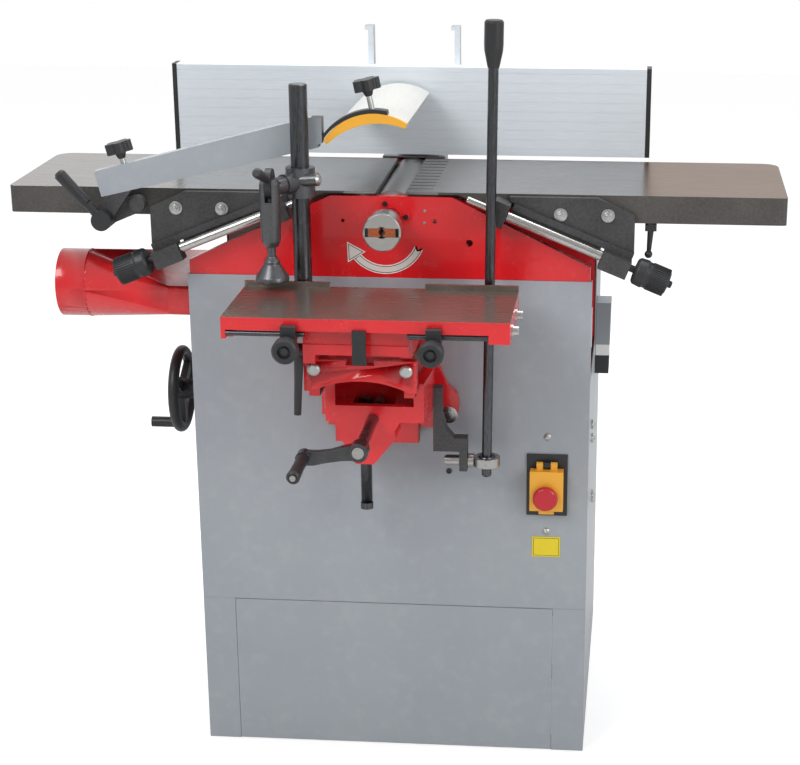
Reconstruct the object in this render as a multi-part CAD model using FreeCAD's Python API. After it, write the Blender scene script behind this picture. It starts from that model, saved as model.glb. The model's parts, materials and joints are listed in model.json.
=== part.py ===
# Combination planer thicknesser with a slot mortising table.
# Units are millimetres. +Z is up, X runs along the planing tables, -Y faces the operator.
# The origin is on the floor under the centre of the sheet steel stand.
import FreeCAD, Part
import math
import os

Vector = FreeCAD.Vector
os.makedirs("parts", exist_ok=True)

# Stand
STAND_WIDTH = 572.0
STAND_DEPTH = 550.0
PLINTH_HEIGHT = 232.0
HEAD_HEIGHT = 122.0
SHEET = 2.0
FLANGE = 45.0
FLANGE_THICK = 3.0
BOLT_HOLE_R = 5.5
BOLT_INSET = 24.0
POST_WIDTH = 48.0
PANEL_GAP = 0.3
STRAP_HALF = 25.0

# Cutterblock and planing tables
CUTTER_X = 5.0
TABLE_HEIGHT = 850.0
CUTTER_R = 36.0
BLOCK_R = 34.5
CUTTER_SHAFT_R = 12.5
LIP_GAP = 42.0
LIP_WIDTH = 45.0
LIP_THICK = 10.0
LIP_TIP = 5.0
LIP_BEVEL = 13.0
LIP_SLOT = 4.0
LIP_SLOT_LENGTH = 36.0
LIP_SLOT_PITCH = 23.0
INFEED_LENGTH = 524.0
OUTFEED_LENGTH = 519.0
TABLE_WIDTH = 255.0
TABLE_RIM = 38.0
TABLE_TOP_THICK = 10.0
TABLE_WALL = 10.0
TABLE_RIB = 8.0
TABLE_REAR_CORNER_R = 25.0
TABLE_FRONT_CORNER_R = 6.0

# Frame walls that carry the cutterblock
WALL = 12.0
WALL_SKIRT = 308.0
WALL_TOP_DROP = 7.0
WALL_SHOULDER_RISE = 20.0
WALL_FLAT = 85.0
PLANING_GAP = 256.0
BEARING_R = 23.5
BEARING_CAP_R = 27.0
BEARING_CAP = 4.0
RUN_CLEAR = 0.05
FACE_GAP = 0.3

# Inclined table slides
RAMP_ANGLE = 22.0
RAMP_U = 157.0
RAMP_DROP = 5.0
BRACKET = 10.0
REAR_BRACKET = 7.0
BRACKET_END = 338.0
BRACKET_CHAMFER = 51.0
BRACKET_SIDE = 53.0
RUNNER_DROP = 9.0
RUNNER_THICK = 16.0
WAY_DROP = 12.0
WAY_LENGTH = 145.0
WAY_THICK = 13.0
SLIDE_GAP = 0.15
SCREW_AXIS_DROP = 17.6
SCREW_R = 5.0
SLEEVE_R = 7.0
SCREW_Y = 24.0
BLOCK_HALF_Y = 11.0
NUT_BLOCK_LENGTH = 22.0
NUT_BLOCK_DROP = 34.0
END_BLOCK_START = 155.0
END_BLOCK_LENGTH = 41.0
KNOB_R = 20.0
KNOB_LENGTH = 49.0

# Feed rollers and thicknessing table
ROLLER_R = 16.0
ROLLER_OFFSET = 58.0
ROLLER_DROP = 57.0
JOURNAL_R = 7.5
JOURNAL_DEPTH = 8.0
BED_DROP = 68.0
BED_LENGTH = 500.0
BED_SIDE_GAP = 2.0
BED_THICK = 12.0
BED_BOSS = 45.0
BED_SKIRT = 25.0
RISE_SCREW_R = 12.0
RISE_SCREW_LENGTH = 205.0
HANDWHEEL_DROP = 146.0
HANDWHEEL_R = 66.0
HANDWHEEL_OUT = 51.0
HANDWHEEL_THICK = 22.0
HANDWHEEL_SHAFT_R = 8.0
GEAR_R = 24.0
GEAR_FACE = 10.0
GRIP_R = 8.0
GRIP_LENGTH = 44.0
FLOOR_PLATE_DROP = 230.0
FLOOR_PLATE_HALF = 185.0
FLOOR_PLATE_THICK = 10.0

# Dust hood
HOOD_HEIGHT = 42.5
HOOD_WIDTH = 240.0
HOOD_WALL = 2.0
SPIGOT_R = 50.0
SPIGOT_RISE = 17.0
SPIGOT_OUT = 179.0
SPIGOT_LENGTH = 43.0
HOOD_NECK_OUT = 36.0

# Drive
MOTOR_DROP = 140.0
MOTOR_R = 70.0
MOTOR_STANDOFF = 43.0
MOTOR_REAR_GAP = 50.0
MOTOR_SHAFT_R = 9.5
CUTTER_PULLEY_R = 26.0
MOTOR_PULLEY_R = 34.0
PULLEY_WIDTH = 22.0
PULLEY_STANDOFF = 7.0
BELT_THICK = 5.0
BELT_WIDTH = 18.0

# Mortising chuck
CHUCK_R = 26.0
CHUCK_LENGTH = 82.0
CHUCK_HEAD = 31.0
CHUCK_NECK_R = 16.0
CHUCK_OUT = 99.0
JAW_WIDTH = 12.0
JAW_LENGTH = 16.5
JAW_GAP = 2.0
JAW_DEPTH = 26.0

# Switch
SWITCH_SIDE = 59.2
SWITCH_RISE = 195.0
SWITCH_WIDTH = 59.0
SWITCH_HEIGHT = 93.0
SWITCH_BODY = 58.0
SWITCH_BODY_INSET = 7.0
FLAP_WIDTH = 48.0
FLAP_BELOW = 34.0
FLAP_ABOVE = 26.0
FLAP_DEPTH = 17.0
MUSHROOM_R = 18.0
MUSHROOM_DROP = 12.0

# Fence
FENCE_LENGTH = 718.0
FENCE_HEIGHT = 130.0
FENCE_THICK = 30.0
FENCE_BEHIND = 11.0
FENCE_LIFT = 4.0
FENCE_X = 1.5
FENCE_CAP = 7.0
FENCE_GROOVE_PITCH = 14.0
STRAP_WIDTH = 8.0
STRAP_DEPTH = 20.0
STRAP_RISE = 190.0
STRAP_OFFSET = 65.0
FENCE_PIVOT_RISE = 30.0
FENCE_PIVOT_BACK = 10.0
FENCE_ARM_WIDTH = 40.0
FENCE_ARM_HEIGHT = 16.0
FENCE_ARM_LENGTH = 290.0
GUIDE_STANDOFF = 53.0
FENCE_GUIDE_LENGTH = 90.0

# Cutter guard
ARM_ANGLE = 14.0
ARM_HUB_X = -394.0
ARM_HUB_DROP = 39.0
ARM_START_X = -400.0
ARM_START_RISE = 9.0
ARM_LENGTH = 315.0
ARM_HEIGHT = 36.0
ARM_TAPER = 6.0
ARM_DEPTH = 18.0
ARM_OUT = 28.0
ARM_SHEET = 3.0
GUARD_CHORD = 118.0
GUARD_RISE = 24.0
GUARD_THICK = 14.0
GUARD_LENGTH = 283.0
GUARD_LEFT_X = -83.0
GUARD_FOOT_RISE = 74.0
GUARD_TILT = 12.0
GUARD_SKIN = 2.5
STAR_KNOB_R = 19.0

# Mortising table
MORT_X = -16.0
BRACKET_LOW_DROP = 237.0
BRACKET_TOP_DROP = 65.0
DOVE_HALF = 60.0
BRACKET_PLATE = 12.0
PLATE_LEFT = -88.0
PLATE_RIGHT = 73.0
DOVE_DEPTH = 14.0
MTABLE_LEFT = -190.0
MTABLE_RIGHT = 188.0
MTABLE_DEPTH = 172.0
MTABLE_OUT = 65.0
MTABLE_DROP = 120.0
MTABLE_SKIRT = 29.0
MTABLE_PLATE = 8.0
MTABLE_WALL = 9.0
REAR_LIP_HEIGHT = 7.0
REAR_LIP_THICK = 6.0
CROSS_ROD_R = 8.0
CROSS_ROD_DROP = 19.0
CROSS_ROD_OUT = (203.0, 123.0)
SADDLE_HALF = 70.0
SADDLE_FRONT_OUT = 217.0
SADDLE_REAR_OUT = 43.0
SADDLE_DROP = 66.0
SADDLE_THICK = 26.0
SADDLE_STEP = 12.0
LONG_ROD_R = 9.0
LONG_ROD_OFFSET = 62.0
LONG_ROD_DROP = 84.0
LONG_ROD_OUT = 181.0
CAP_HALF = 76.0
CAP_THICK = 14.0
CAP_BELOW = 31.0
CAP_ABOVE = 13.0
KNEE_OUT = 127.0
KNEE_DROP = 192.0
KNEE_CHEEK = 14.0
KNEE_CHEEK_HEIGHT = 74.0
KNEE_BACK_HEIGHT = 134.0
KNEE_FLOOR = 9.0
KNEE_SKIRT_RISE = 18.0
KNEE_BAR_RISE = 41.0
KNEE_RIGHT = 68.0
KNEE_LEFT = -92.0
LIFT_X = -27.5
LIFT_OUT = 59.0
LIFT_R = 8.0
LIFT_HANG = 133.0
GEAR_GAP = 0.2
CRANK_X = -7.5
CRANK_RISE = 22.0
CRANK_OUT = 273.0
CRANK_ARM = 74.0
CRANK_ANGLE = 8.0
CRANK_HUB_R = 13.0
SHAFT_PROUD = 0.8
CRANK_SHAFT_R = 8.0
CRANK_TAIL_R = 5.0
CRANK_GRIP_R = 9.0
CRANK_GRIP_LENGTH = 74.0
NUT_ARM_DROP = 62.0
NUT_ARM_GAP = 8.0

# Hold-down
POST_X = -112.0
POST_OUT = 49.0
POST_R = 12.5
POST_STEP = 83.0
POST_RISE = 274.0
COLLAR_R = 20.0
COLLAR_RISE = 122.0
COLLAR_HEIGHT = 40.0
FORK_X = -146.0
FORK_OUT = 96.0
FORK_RISE = 62.0
FORK_HEIGHT = 92.0
FORK_R = 14.0
CAM_DROP = 6.0
CAM_R = 20.0
CAM_THICK = 9.0
FOOT_R = 23.0
FOOT_GAP = 14.0
SPINDLE_R = 6.0

# Control lever
LEVER_X = 143.0
LEVER_OUT = 47.0
LEVER_R = 7.0
BALL_R = 14.0
OIL_HOLE_R = 1.5
BALL_DROP = 253.0
EYE_R = 19.0
EYE_HEIGHT = 13.0
STUD_R = 6.0
LEVER_TAIL = 23.0
LEVER_REACH = 613.0
LEVER_GRIP_R = 13.0
LEVER_GRIP_LENGTH = 62.0
LEVER_BOSS_R = 18.0
LEVER_LEAN = 0.8
LEVER_HOLE_R = 13.5

# Places worked out from the driving dimensions
STAND_TOP = TABLE_HEIGHT - HEAD_HEIGHT
WALL_FOOT = STAND_TOP - WALL_SKIRT
WALL_TOP = TABLE_HEIGHT - WALL_TOP_DROP
WALL_SHOULDER = STAND_TOP + WALL_SHOULDER_RISE
RAMP_Z = TABLE_HEIGHT - RAMP_DROP
BED_TOP = STAND_TOP - BED_DROP
RISE_SCREW_FOOT = BED_TOP - RISE_SCREW_LENGTH
HANDWHEEL_Z = BED_TOP - HANDWHEEL_DROP
FLOOR_PLATE_Z = BED_TOP - FLOOR_PLATE_DROP
SPIGOT_Z = BED_TOP + SPIGOT_RISE
MOTOR_Z = BED_TOP - MOTOR_DROP
STRAP_TOP = TABLE_HEIGHT + STRAP_RISE
FENCE_PIVOT_Z = TABLE_HEIGHT + FENCE_PIVOT_RISE
ARM_HUB_Z = TABLE_HEIGHT - ARM_HUB_DROP
ARM_START_Z = TABLE_HEIGHT + ARM_START_RISE
GUARD_LEFT_Z = TABLE_HEIGHT + GUARD_FOOT_RISE
MTABLE_TOP = TABLE_HEIGHT - MTABLE_DROP
BRACKET_Z0 = MTABLE_TOP - BRACKET_LOW_DROP
BRACKET_Z1 = MTABLE_TOP - BRACKET_TOP_DROP
CROSS_ROD_Z = MTABLE_TOP - CROSS_ROD_DROP
SADDLE_LOW = MTABLE_TOP - SADDLE_DROP
SADDLE_HIGH = SADDLE_LOW + SADDLE_THICK
LONG_ROD_Z = MTABLE_TOP - LONG_ROD_DROP
CAP_LOW = LONG_ROD_Z - CAP_BELOW
CAP_HIGH = LONG_ROD_Z + CAP_ABOVE
KNEE_LOW = MTABLE_TOP - KNEE_DROP
KNEE_CHEEK_TOP = KNEE_LOW + KNEE_CHEEK_HEIGHT
KNEE_BACK_TOP = KNEE_LOW + KNEE_BACK_HEIGHT
KNEE_SKIRT = KNEE_LOW + KNEE_SKIRT_RISE
KNEE_BAR_TOP = KNEE_LOW + KNEE_BAR_RISE
LIFT_FOOT = KNEE_LOW - LIFT_HANG
CRANK_Z = KNEE_LOW + CRANK_RISE
NUT_ARM_LOW = KNEE_LOW - NUT_ARM_DROP
NUT_ARM_HIGH = KNEE_LOW - NUT_ARM_GAP
POST_TOP = MTABLE_TOP + POST_RISE
COLLAR_LOW = MTABLE_TOP + COLLAR_RISE
COLLAR_HIGH = COLLAR_LOW + COLLAR_HEIGHT
FORK_LOW = MTABLE_TOP + FORK_RISE
FORK_TOP = FORK_LOW + FORK_HEIGHT
CAM_Z = FORK_TOP - CAM_DROP
FOOT_LOW = MTABLE_TOP + FOOT_GAP
BALL_Z = MTABLE_TOP - BALL_DROP
LEVER_FOOT = BALL_Z - LEVER_TAIL
LEVER_TOP = BALL_Z + LEVER_REACH
SWITCH_Z = PLINTH_HEIGHT + SWITCH_RISE
FLAP_LOW = SWITCH_Z - FLAP_BELOW
FLAP_HIGH = SWITCH_Z + FLAP_ABOVE
MUSHROOM_Z = SWITCH_Z - MUSHROOM_DROP
HALF_W = STAND_WIDTH / 2
LIFT_GEAR_R = (CRANK_X - LIFT_X) / 2 - GEAR_GAP
FRONT = -STAND_DEPTH / 2
REAR = STAND_DEPTH / 2
HANDWHEEL_X = -HALF_W - HANDWHEEL_OUT
SPIGOT_START = -HALF_W - SPIGOT_OUT
SPIGOT_END = SPIGOT_START - SPIGOT_LENGTH
HOOD_NECK = -HALF_W - HOOD_NECK_OUT
CHUCK_FRONT = FRONT - CHUCK_OUT
SWITCH_X = HALF_W - SWITCH_SIDE
ARM_FRONT = FRONT - ARM_OUT
MTABLE_REAR = FRONT - MTABLE_OUT
MTABLE_FRONT = MTABLE_REAR - MTABLE_DEPTH
CROSS_ROD_Y = [FRONT - out for out in CROSS_ROD_OUT]
SADDLE_FRONT = FRONT - SADDLE_FRONT_OUT
SADDLE_REAR = FRONT - SADDLE_REAR_OUT
LONG_ROD_FRONT = FRONT - LONG_ROD_OUT
KNEE_FRONT = FRONT - KNEE_OUT
LIFT_Y = FRONT - LIFT_OUT
CRANK_HUB_Y = FRONT - CRANK_OUT
POST_Y = FRONT - POST_OUT
FORK_Y = FRONT - FORK_OUT
LEVER_Y = FRONT - LEVER_OUT
CUTTER_Z = TABLE_HEIGHT - CUTTER_R
FRONT_WALL_Y = FRONT + SHEET
INNER_FRONT = FRONT_WALL_Y + WALL
INNER_REAR = INNER_FRONT + PLANING_GAP
REAR_WALL_Y = INNER_REAR
REAR_WALL_BACK = REAR_WALL_Y + WALL
TABLE_FRONT = FRONT_WALL_Y - 1.0
TABLE_REAR = TABLE_FRONT + TABLE_WIDTH
MID_Y = (INNER_FRONT + INNER_REAR) / 2
MOTOR_START = REAR_WALL_BACK + MOTOR_STANDOFF
MOTOR_LENGTH = REAR - MOTOR_REAR_GAP - MOTOR_START
PULLEY_Y = REAR_WALL_BACK + PULLEY_STANDOFF
FENCE_Y = TABLE_REAR + FENCE_BEHIND
FENCE_GUIDE_Y = REAR_WALL_BACK + GUIDE_STANDOFF
BRACKET_FRONT = TABLE_FRONT - BRACKET
SCREW_AXIS_Y = TABLE_FRONT - SCREW_Y
ROLLER_Z = TABLE_HEIGHT - ROLLER_DROP
SIN_R = math.sin(math.radians(RAMP_ANGLE))
COS_R = math.cos(math.radians(RAMP_ANGLE))
FENCE_BACK = FENCE_Y + FENCE_THICK
FENCE_LOW = TABLE_HEIGHT + FENCE_LIFT
FENCE_TOP = FENCE_LOW + FENCE_HEIGHT
PIVOT_Y = FENCE_BACK + FENCE_PIVOT_BACK


# Basic solids
def box(x0, x1, y0, y1, z0, z1):
    return Part.makeBox(x1 - x0, y1 - y0, z1 - z0, Vector(x0, y0, z0))


def rod_x(x0, x1, y, z, r):
    return Part.makeCylinder(r, x1 - x0, Vector(x0, y, z), Vector(1, 0, 0))


def rod_y(x, y0, y1, z, r):
    return Part.makeCylinder(r, y1 - y0, Vector(x, y0, z), Vector(0, 1, 0))


def rod_z(x, y, z0, z1, r):
    return Part.makeCylinder(r, z1 - z0, Vector(x, y, z0), Vector(0, 0, 1))


def prism(points, sweep):
    wire = Part.makePolygon(points + [points[0]])
    return Part.Face(wire).extrude(sweep)


def prism_xz(points, y0, y1):
    return prism([Vector(x, y0, z) for x, z in points], Vector(0, y1 - y0, 0))


def prism_yz(points, x0, x1):
    return prism([Vector(x0, y, z) for y, z in points], Vector(x1 - x0, 0, 0))


def prism_xy(points, z0, z1):
    return prism([Vector(x, y, z0) for x, y in points], Vector(0, 0, z1 - z0))


def turned(profile, base, axis):
    # profile lists (distance along the axis, radius); the solid closes on the axis
    start = profile[0][0]
    end = profile[-1][0]
    outline = [(start, 0.0)] + list(profile) + [(end, 0.0)]
    points = [Vector(r, 0, s) for s, r in outline]
    face = Part.Face(Part.makePolygon(points + [points[0]]))
    solid = face.revolve(Vector(0, 0, 0), Vector(0, 0, 1), 360)
    turn = FreeCAD.Rotation(Vector(0, 0, 1), Vector(*axis))
    solid.Placement = FreeCAD.Placement(Vector(*base), turn)
    return solid


def rounded(shape, radius, keep):
    edges = [e for e in shape.Edges if keep(e)]
    return shape.makeFillet(radius, edges)


def upright_at(x, y):
    # picks the vertical edges that stand at one corner
    def keep(edge):
        centre = edge.CenterOfMass
        upright = abs(edge.tangentAt(edge.FirstParameter).z) > 0.99
        return upright and abs(centre.x - x) < 0.5 and abs(centre.y - y) < 0.5
    return keep


def mirrored(shape):
    return shape.mirror(Vector(CUTTER_X, 0, 0), Vector(1, 0, 0))


def save(node, solids):
    if not isinstance(solids, list):
        solids = [solids]
    loose = []
    for shape in solids:
        loose.extend(shape.removeSplitter().Solids)
    shape = loose[0] if len(loose) == 1 else Part.makeCompound(loose)
    shape.exportStep("parts/" + node + ".step")


# Plinth: a folded sheet ring with floor and top flanges, open at the front for its panel
PANEL_HALF = HALF_W - POST_WIDTH


def base_plinth():
    ring = box(-HALF_W, HALF_W, FRONT, REAR, 0, PLINTH_HEIGHT)
    ring = ring.cut(box(-HALF_W + SHEET, HALF_W - SHEET, FRONT + SHEET, REAR - SHEET, -1, PLINTH_HEIGHT + 1))
    for z in (0, PLINTH_HEIGHT - FLANGE_THICK):
        flange = box(-HALF_W, HALF_W, FRONT + SHEET, REAR, z, z + FLANGE_THICK)
        hole = box(-HALF_W + FLANGE, HALF_W - FLANGE, FRONT + FLANGE, REAR - FLANGE, z - 1, z + FLANGE_THICK + 1)
        ring = ring.fuse(flange.cut(hole))
    ring = ring.cut(box(-PANEL_HALF, PANEL_HALF, FRONT - 1, FRONT + SHEET, -1, PLINTH_HEIGHT + 1))
    ring = ring.fuse(box(-HALF_W + SHEET, HALF_W - SHEET, -STRAP_HALF, STRAP_HALF, 0, FLANGE_THICK))
    for sx in (-1, 1):
        for sy in (-1, 1):
            x = sx * (HALF_W - BOLT_INSET)
            y = sy * (STAND_DEPTH / 2 - BOLT_INSET)
            ring = ring.cut(rod_z(x, y, -1, FLANGE_THICK + 1, BOLT_HOLE_R))
    return ring


def plinth_front_panel():
    half = PANEL_HALF - PANEL_GAP
    top = PLINTH_HEIGHT - 1.0
    return box(-half, half, FRONT, FRONT + SHEET, 1.0, top)


# Stand cabinet: front and two sides, with the thicknessing tunnel cut from the sides
TUNNEL_DROP = 85.0
TUNNEL_LOW = BED_TOP - TUNNEL_DROP
HAND_SHAFT_HOLE = 14.0
SPARE_HOLE_R = 4.0
SPARE_HOLE_X = 84.5
SPARE_HOLE_DROP = 33.7


def switch_opening(y0, y1):
    half_w = SWITCH_WIDTH / 2 - SWITCH_BODY_INSET + 1
    half_h = SWITCH_HEIGHT / 2 - SWITCH_BODY_INSET + 1
    return box(SWITCH_X - half_w, SWITCH_X + half_w, y0, y1, SWITCH_Z - half_h, SWITCH_Z + half_h)


def cabinet_shell():
    shell = box(-HALF_W, HALF_W, FRONT, REAR - SHEET, PLINTH_HEIGHT, STAND_TOP)
    inner_x = HALF_W - SHEET
    shell = shell.cut(box(-inner_x, inner_x, FRONT + SHEET, REAR, PLINTH_HEIGHT - 1, STAND_TOP + 1))
    tunnel = box(-HALF_W - 1, HALF_W + 1, INNER_FRONT, INNER_REAR, TUNNEL_LOW, STAND_TOP + 1)
    shell = shell.cut(tunnel)
    shell = shell.cut(switch_opening(FRONT - 1, FRONT + SHEET + 1))
    shell = shell.cut(rod_y(SPARE_HOLE_X, FRONT - 1, FRONT + SHEET + 1, BALL_Z - SPARE_HOLE_DROP, SPARE_HOLE_R))
    shell = shell.cut(rod_x(-HALF_W - 1, -inner_x + 1, MID_Y, HANDWHEEL_Z, HAND_SHAFT_HOLE))
    return shell


# Rear cover: back panel with louvres, top plate and the hump over the belt
HUMP_HALF = 48.0
HUMP_DEPTH = 39.0
HUMP_BACK = REAR_WALL_BACK + HUMP_DEPTH
LOUVRES = 7
LOUVRE_DROP = 298.0
LOUVRE_PITCH = 18.0
LOUVRE_HALF = 115.0
LOUVRE_HEIGHT = 6.0


def rear_cover():
    inner_x = HALF_W - SHEET - PANEL_GAP
    cover = box(-HALF_W, HALF_W, REAR - SHEET, REAR, PLINTH_HEIGHT, STAND_TOP + SHEET)
    cover = cover.fuse(box(-HALF_W, HALF_W, REAR_WALL_BACK, REAR, STAND_TOP, STAND_TOP + SHEET))
    hump = box(CUTTER_X - HUMP_HALF, CUTTER_X + HUMP_HALF, REAR_WALL_BACK, HUMP_BACK,
               STAND_TOP, TABLE_HEIGHT - 2)
    cover = cover.fuse(hump)
    cover = cover.cut(box(CUTTER_X - HUMP_HALF + SHEET, CUTTER_X + HUMP_HALF - SHEET, REAR_WALL_BACK - 1,
                          HUMP_BACK - SHEET, STAND_TOP - 1, TABLE_HEIGHT - 2 - SHEET))
    for i in range(LOUVRES):
        z = STAND_TOP - LOUVRE_DROP + LOUVRE_PITCH * i
        cover = cover.cut(box(CUTTER_X - LOUVRE_HALF, CUTTER_X + LOUVRE_HALF, REAR - SHEET - 1, REAR + 1,
                              z, z + LOUVRE_HEIGHT))
    lip = box(-inner_x, inner_x, REAR - SHEET - 12, REAR - SHEET, PLINTH_HEIGHT, PLINTH_HEIGHT + SHEET)
    return cover.fuse(lip)


# Interlock box on the right side
SIDE_BOX_DROP = 214.0
SIDE_BOX_HEIGHT = 113.0
SIDE_BOX_OUT = 21.0
SIDE_BOX_WIDTH = 46.0


def side_box():
    low = STAND_TOP - SIDE_BOX_DROP
    high = low + SIDE_BOX_HEIGHT
    y0 = INNER_REAR + BED_SIDE_GAP + 5
    outline = [(HALF_W, low), (HALF_W + SIDE_BOX_OUT, low), (HALF_W + SIDE_BOX_OUT + SHEET, high), (HALF_W, high)]
    return prism_xz(outline, y0, y0 + SIDE_BOX_WIDTH)


# Frame walls with the cutterblock bearings
def wall_outline():
    left = -HALF_W + SHEET + 1
    right = HALF_W - SHEET - 1
    return [(left, WALL_FOOT), (right, WALL_FOOT), (right, WALL_SHOULDER),
            (CUTTER_X + WALL_FLAT, WALL_TOP), (CUTTER_X - WALL_FLAT, WALL_TOP), (left, WALL_SHOULDER)]


def frame_wall(y0):
    wall = prism_xz(wall_outline(), y0, y0 + WALL)
    wall = wall.cut(rod_y(CUTTER_X, y0 - 1, y0 + WALL + 1, CUTTER_Z, BEARING_R))
    inner = y0 + WALL if y0 < MID_Y else y0
    outer = inner - JOURNAL_DEPTH if y0 < MID_Y else inner + JOURNAL_DEPTH
    for side in (-1, 1):
        x = CUTTER_X + side * ROLLER_OFFSET
        bore = rod_y(x, min(inner, outer), max(inner, outer), ROLLER_Z, JOURNAL_R + RUN_CLEAR)
        wall = wall.cut(bore)
    return wall


def bearing(y0):
    ring = rod_y(CUTTER_X, y0, y0 + WALL, CUTTER_Z, BEARING_R)
    return ring.cut(rod_y(CUTTER_X, y0 - 1, y0 + WALL + 1, CUTTER_Z, CUTTER_SHAFT_R + RUN_CLEAR))


def bearing_cap():
    # flange ring in front of the bearing, with its two screws
    y0 = FRONT_WALL_Y - BEARING_CAP
    cap = rod_y(CUTTER_X, y0, FRONT_WALL_Y, CUTTER_Z, BEARING_CAP_R)
    for angle in (112.0, 4.0):
        x = CUTTER_X + (BEARING_CAP_R - 6) * math.cos(math.radians(angle))
        z = CUTTER_Z + (BEARING_CAP_R - 6) * math.sin(math.radians(angle))
        cap = cap.fuse(rod_y(x, y0 - 3, y0 + 1, z, 3.5))
    return cap.cut(rod_y(CUTTER_X, y0 - 1, FRONT_WALL_Y + 1, CUTTER_Z, CUTTER_SHAFT_R + 1))


# distance across and down from the cutter axis, and radius, of the plain holes
FRONT_HOLES = ((-68.0, 6.0, 2.5), (61.0, 5.0, 3.0), (109.0, 35.0, 5.0))


def front_wall():
    wall = frame_wall(FRONT_WALL_Y)
    for across, down, r in FRONT_HOLES:
        wall = wall.cut(rod_y(CUTTER_X + across, FRONT_WALL_Y - 1, FRONT_WALL_Y + WALL + 1, CUTTER_Z - down, r))
    wall = wall.cut(switch_opening(FRONT_WALL_Y - 1, FRONT_WALL_Y + WALL + 1))
    return [wall, bearing(FRONT_WALL_Y), bearing_cap()]


def rear_wall():
    return [frame_wall(REAR_WALL_Y), bearing(REAR_WALL_Y)]


# Ramp frame: s runs down the slope away from the cutter, n is square to it
def ramp_point(s, n):
    x = CUTTER_X + RAMP_U + s * COS_R + n * SIN_R
    z = RAMP_Z - s * SIN_R + n * COS_R
    return x, z


def ramp_bar(s0, s1, n0, n1, y0, y1):
    corners = [ramp_point(s0, n0), ramp_point(s1, n0), ramp_point(s1, n1), ramp_point(s0, n1)]
    return prism_xz(corners, y0, y1)


def ramp_turned(profile):
    x, z = ramp_point(0, -SCREW_AXIS_DROP)
    return turned(profile, (x, SCREW_AXIS_Y, z), (COS_R, 0, -SIN_R))


NUT_START = -9.0
RUNNER_START = NUT_START + NUT_BLOCK_LENGTH + 4.0
RAMP_LENGTH = (BRACKET_END - RAMP_U) / COS_R


# Inclined guide bars on both walls, with the nut blocks of the adjusting screws
def way_bars():
    bars = []
    low = -RUNNER_DROP - SLIDE_GAP - WAY_DROP
    high = -RUNNER_DROP - SLIDE_GAP
    front = ramp_bar(RUNNER_START, RUNNER_START + WAY_LENGTH - 12, low, high, FRONT_WALL_Y - WAY_THICK, FRONT_WALL_Y)
    rear = ramp_bar(RUNNER_START, RUNNER_START + 100, low, high, TABLE_REAR + FACE_GAP, REAR_WALL_Y)
    nut = ramp_bar(NUT_START, NUT_START + NUT_BLOCK_LENGTH, -NUT_BLOCK_DROP - 1, -1,
                   SCREW_AXIS_Y - BLOCK_HALF_Y, FRONT_WALL_Y)
    nut = nut.cut(box(CUTTER_X, STAND_WIDTH, TABLE_FRONT - FACE_GAP, FRONT_WALL_Y + 1, TABLE_HEIGHT - TABLE_RIM - 4,
                      TABLE_HEIGHT))
    nut = nut.cut(ramp_turned([(NUT_START - 5, SCREW_R + RUN_CLEAR), (NUT_START + 40, SCREW_R + RUN_CLEAR)]))
    for bar in (front, rear, nut):
        bars.append(bar)
        bars.append(mirrored(bar))
    return bars


# Planing table casting: ribbed plate with a deep rim, relieved above the front wall
RELIEF_Z = WALL_TOP + 3.5


def relief_outline():
    slope = (WALL_TOP - WALL_SHOULDER) / (HALF_W - SHEET - WALL_FLAT)
    x0 = CUTTER_X + WALL_FLAT + 10
    x1 = CUTTER_X + RAMP_U - 7
    under = RUNNER_DROP - 1
    top = ramp_point(-6, -under)
    low_s = (RAMP_Z - under * COS_R - (TABLE_HEIGHT - TABLE_RIM - 3)) / SIN_R
    foot = ramp_point(low_s, -under)
    floor = TABLE_HEIGHT - TABLE_RIM - 22
    return [(CUTTER_X - 20, floor), (CUTTER_X - 20, RELIEF_Z), (x0, RELIEF_Z),
            (x1, RELIEF_Z - (x1 - x0) * slope), (top[0], top[1]), (foot[0], foot[1]), (foot[0], floor)]


def table_relief():
    return prism_xz(relief_outline(), TABLE_FRONT - 1, INNER_FRONT + 2)


def lip_plate(slotted):
    half = LIP_GAP / 2
    top = TABLE_HEIGHT
    outline = [(half, top), (half + LIP_WIDTH, top), (half + LIP_WIDTH, top - LIP_THICK),
               (half + LIP_BEVEL, top - LIP_THICK), (half, top - LIP_TIP)]
    lip = prism_xz([(CUTTER_X + u, z) for u, z in outline], TABLE_FRONT, TABLE_REAR)
    count = int((TABLE_WIDTH - LIP_SLOT_PITCH) // LIP_SLOT_PITCH)
    start = TABLE_FRONT + (TABLE_WIDTH - (count - 1) * LIP_SLOT_PITCH) / 2
    for i in range(count if slotted else 0):
        y = start + i * LIP_SLOT_PITCH
        lip = lip.cut(box(CUTTER_X + half - 1, CUTTER_X + half + LIP_SLOT_LENGTH,
                          y - LIP_SLOT / 2, y + LIP_SLOT / 2, top - LIP_THICK - 1, top + 1))
    return lip.cut(table_relief())


def table_casting(length):
    inner = CUTTER_X + LIP_GAP / 2 + LIP_WIDTH
    outer = CUTTER_X + LIP_GAP / 2 + length
    low = TABLE_HEIGHT - TABLE_RIM
    under = TABLE_HEIGHT - TABLE_TOP_THICK
    body = box(inner, outer, TABLE_FRONT, TABLE_REAR, low, TABLE_HEIGHT)
    body = rounded(body, TABLE_REAR_CORNER_R, upright_at(outer, TABLE_REAR))
    body = rounded(body, TABLE_FRONT_CORNER_R, upright_at(outer, TABLE_FRONT))
    bays = 4
    bay = (outer - inner - TABLE_WALL) / bays
    for i in range(bays):
        x0 = inner + i * bay + (0 if i == 0 else TABLE_RIB)
        x1 = inner + (i + 1) * bay
        y0 = TABLE_FRONT + TABLE_WALL
        y1 = TABLE_REAR - TABLE_WALL
        start = x0 - 1 if i == 0 else x0
        body = body.cut(box(start, x1, y0, y1, low - 1, under))
    shelf = box(inner - 22, inner + 1, TABLE_FRONT, TABLE_REAR, under - LIP_THICK, under)
    return body.fuse(shelf).cut(table_relief())


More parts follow.
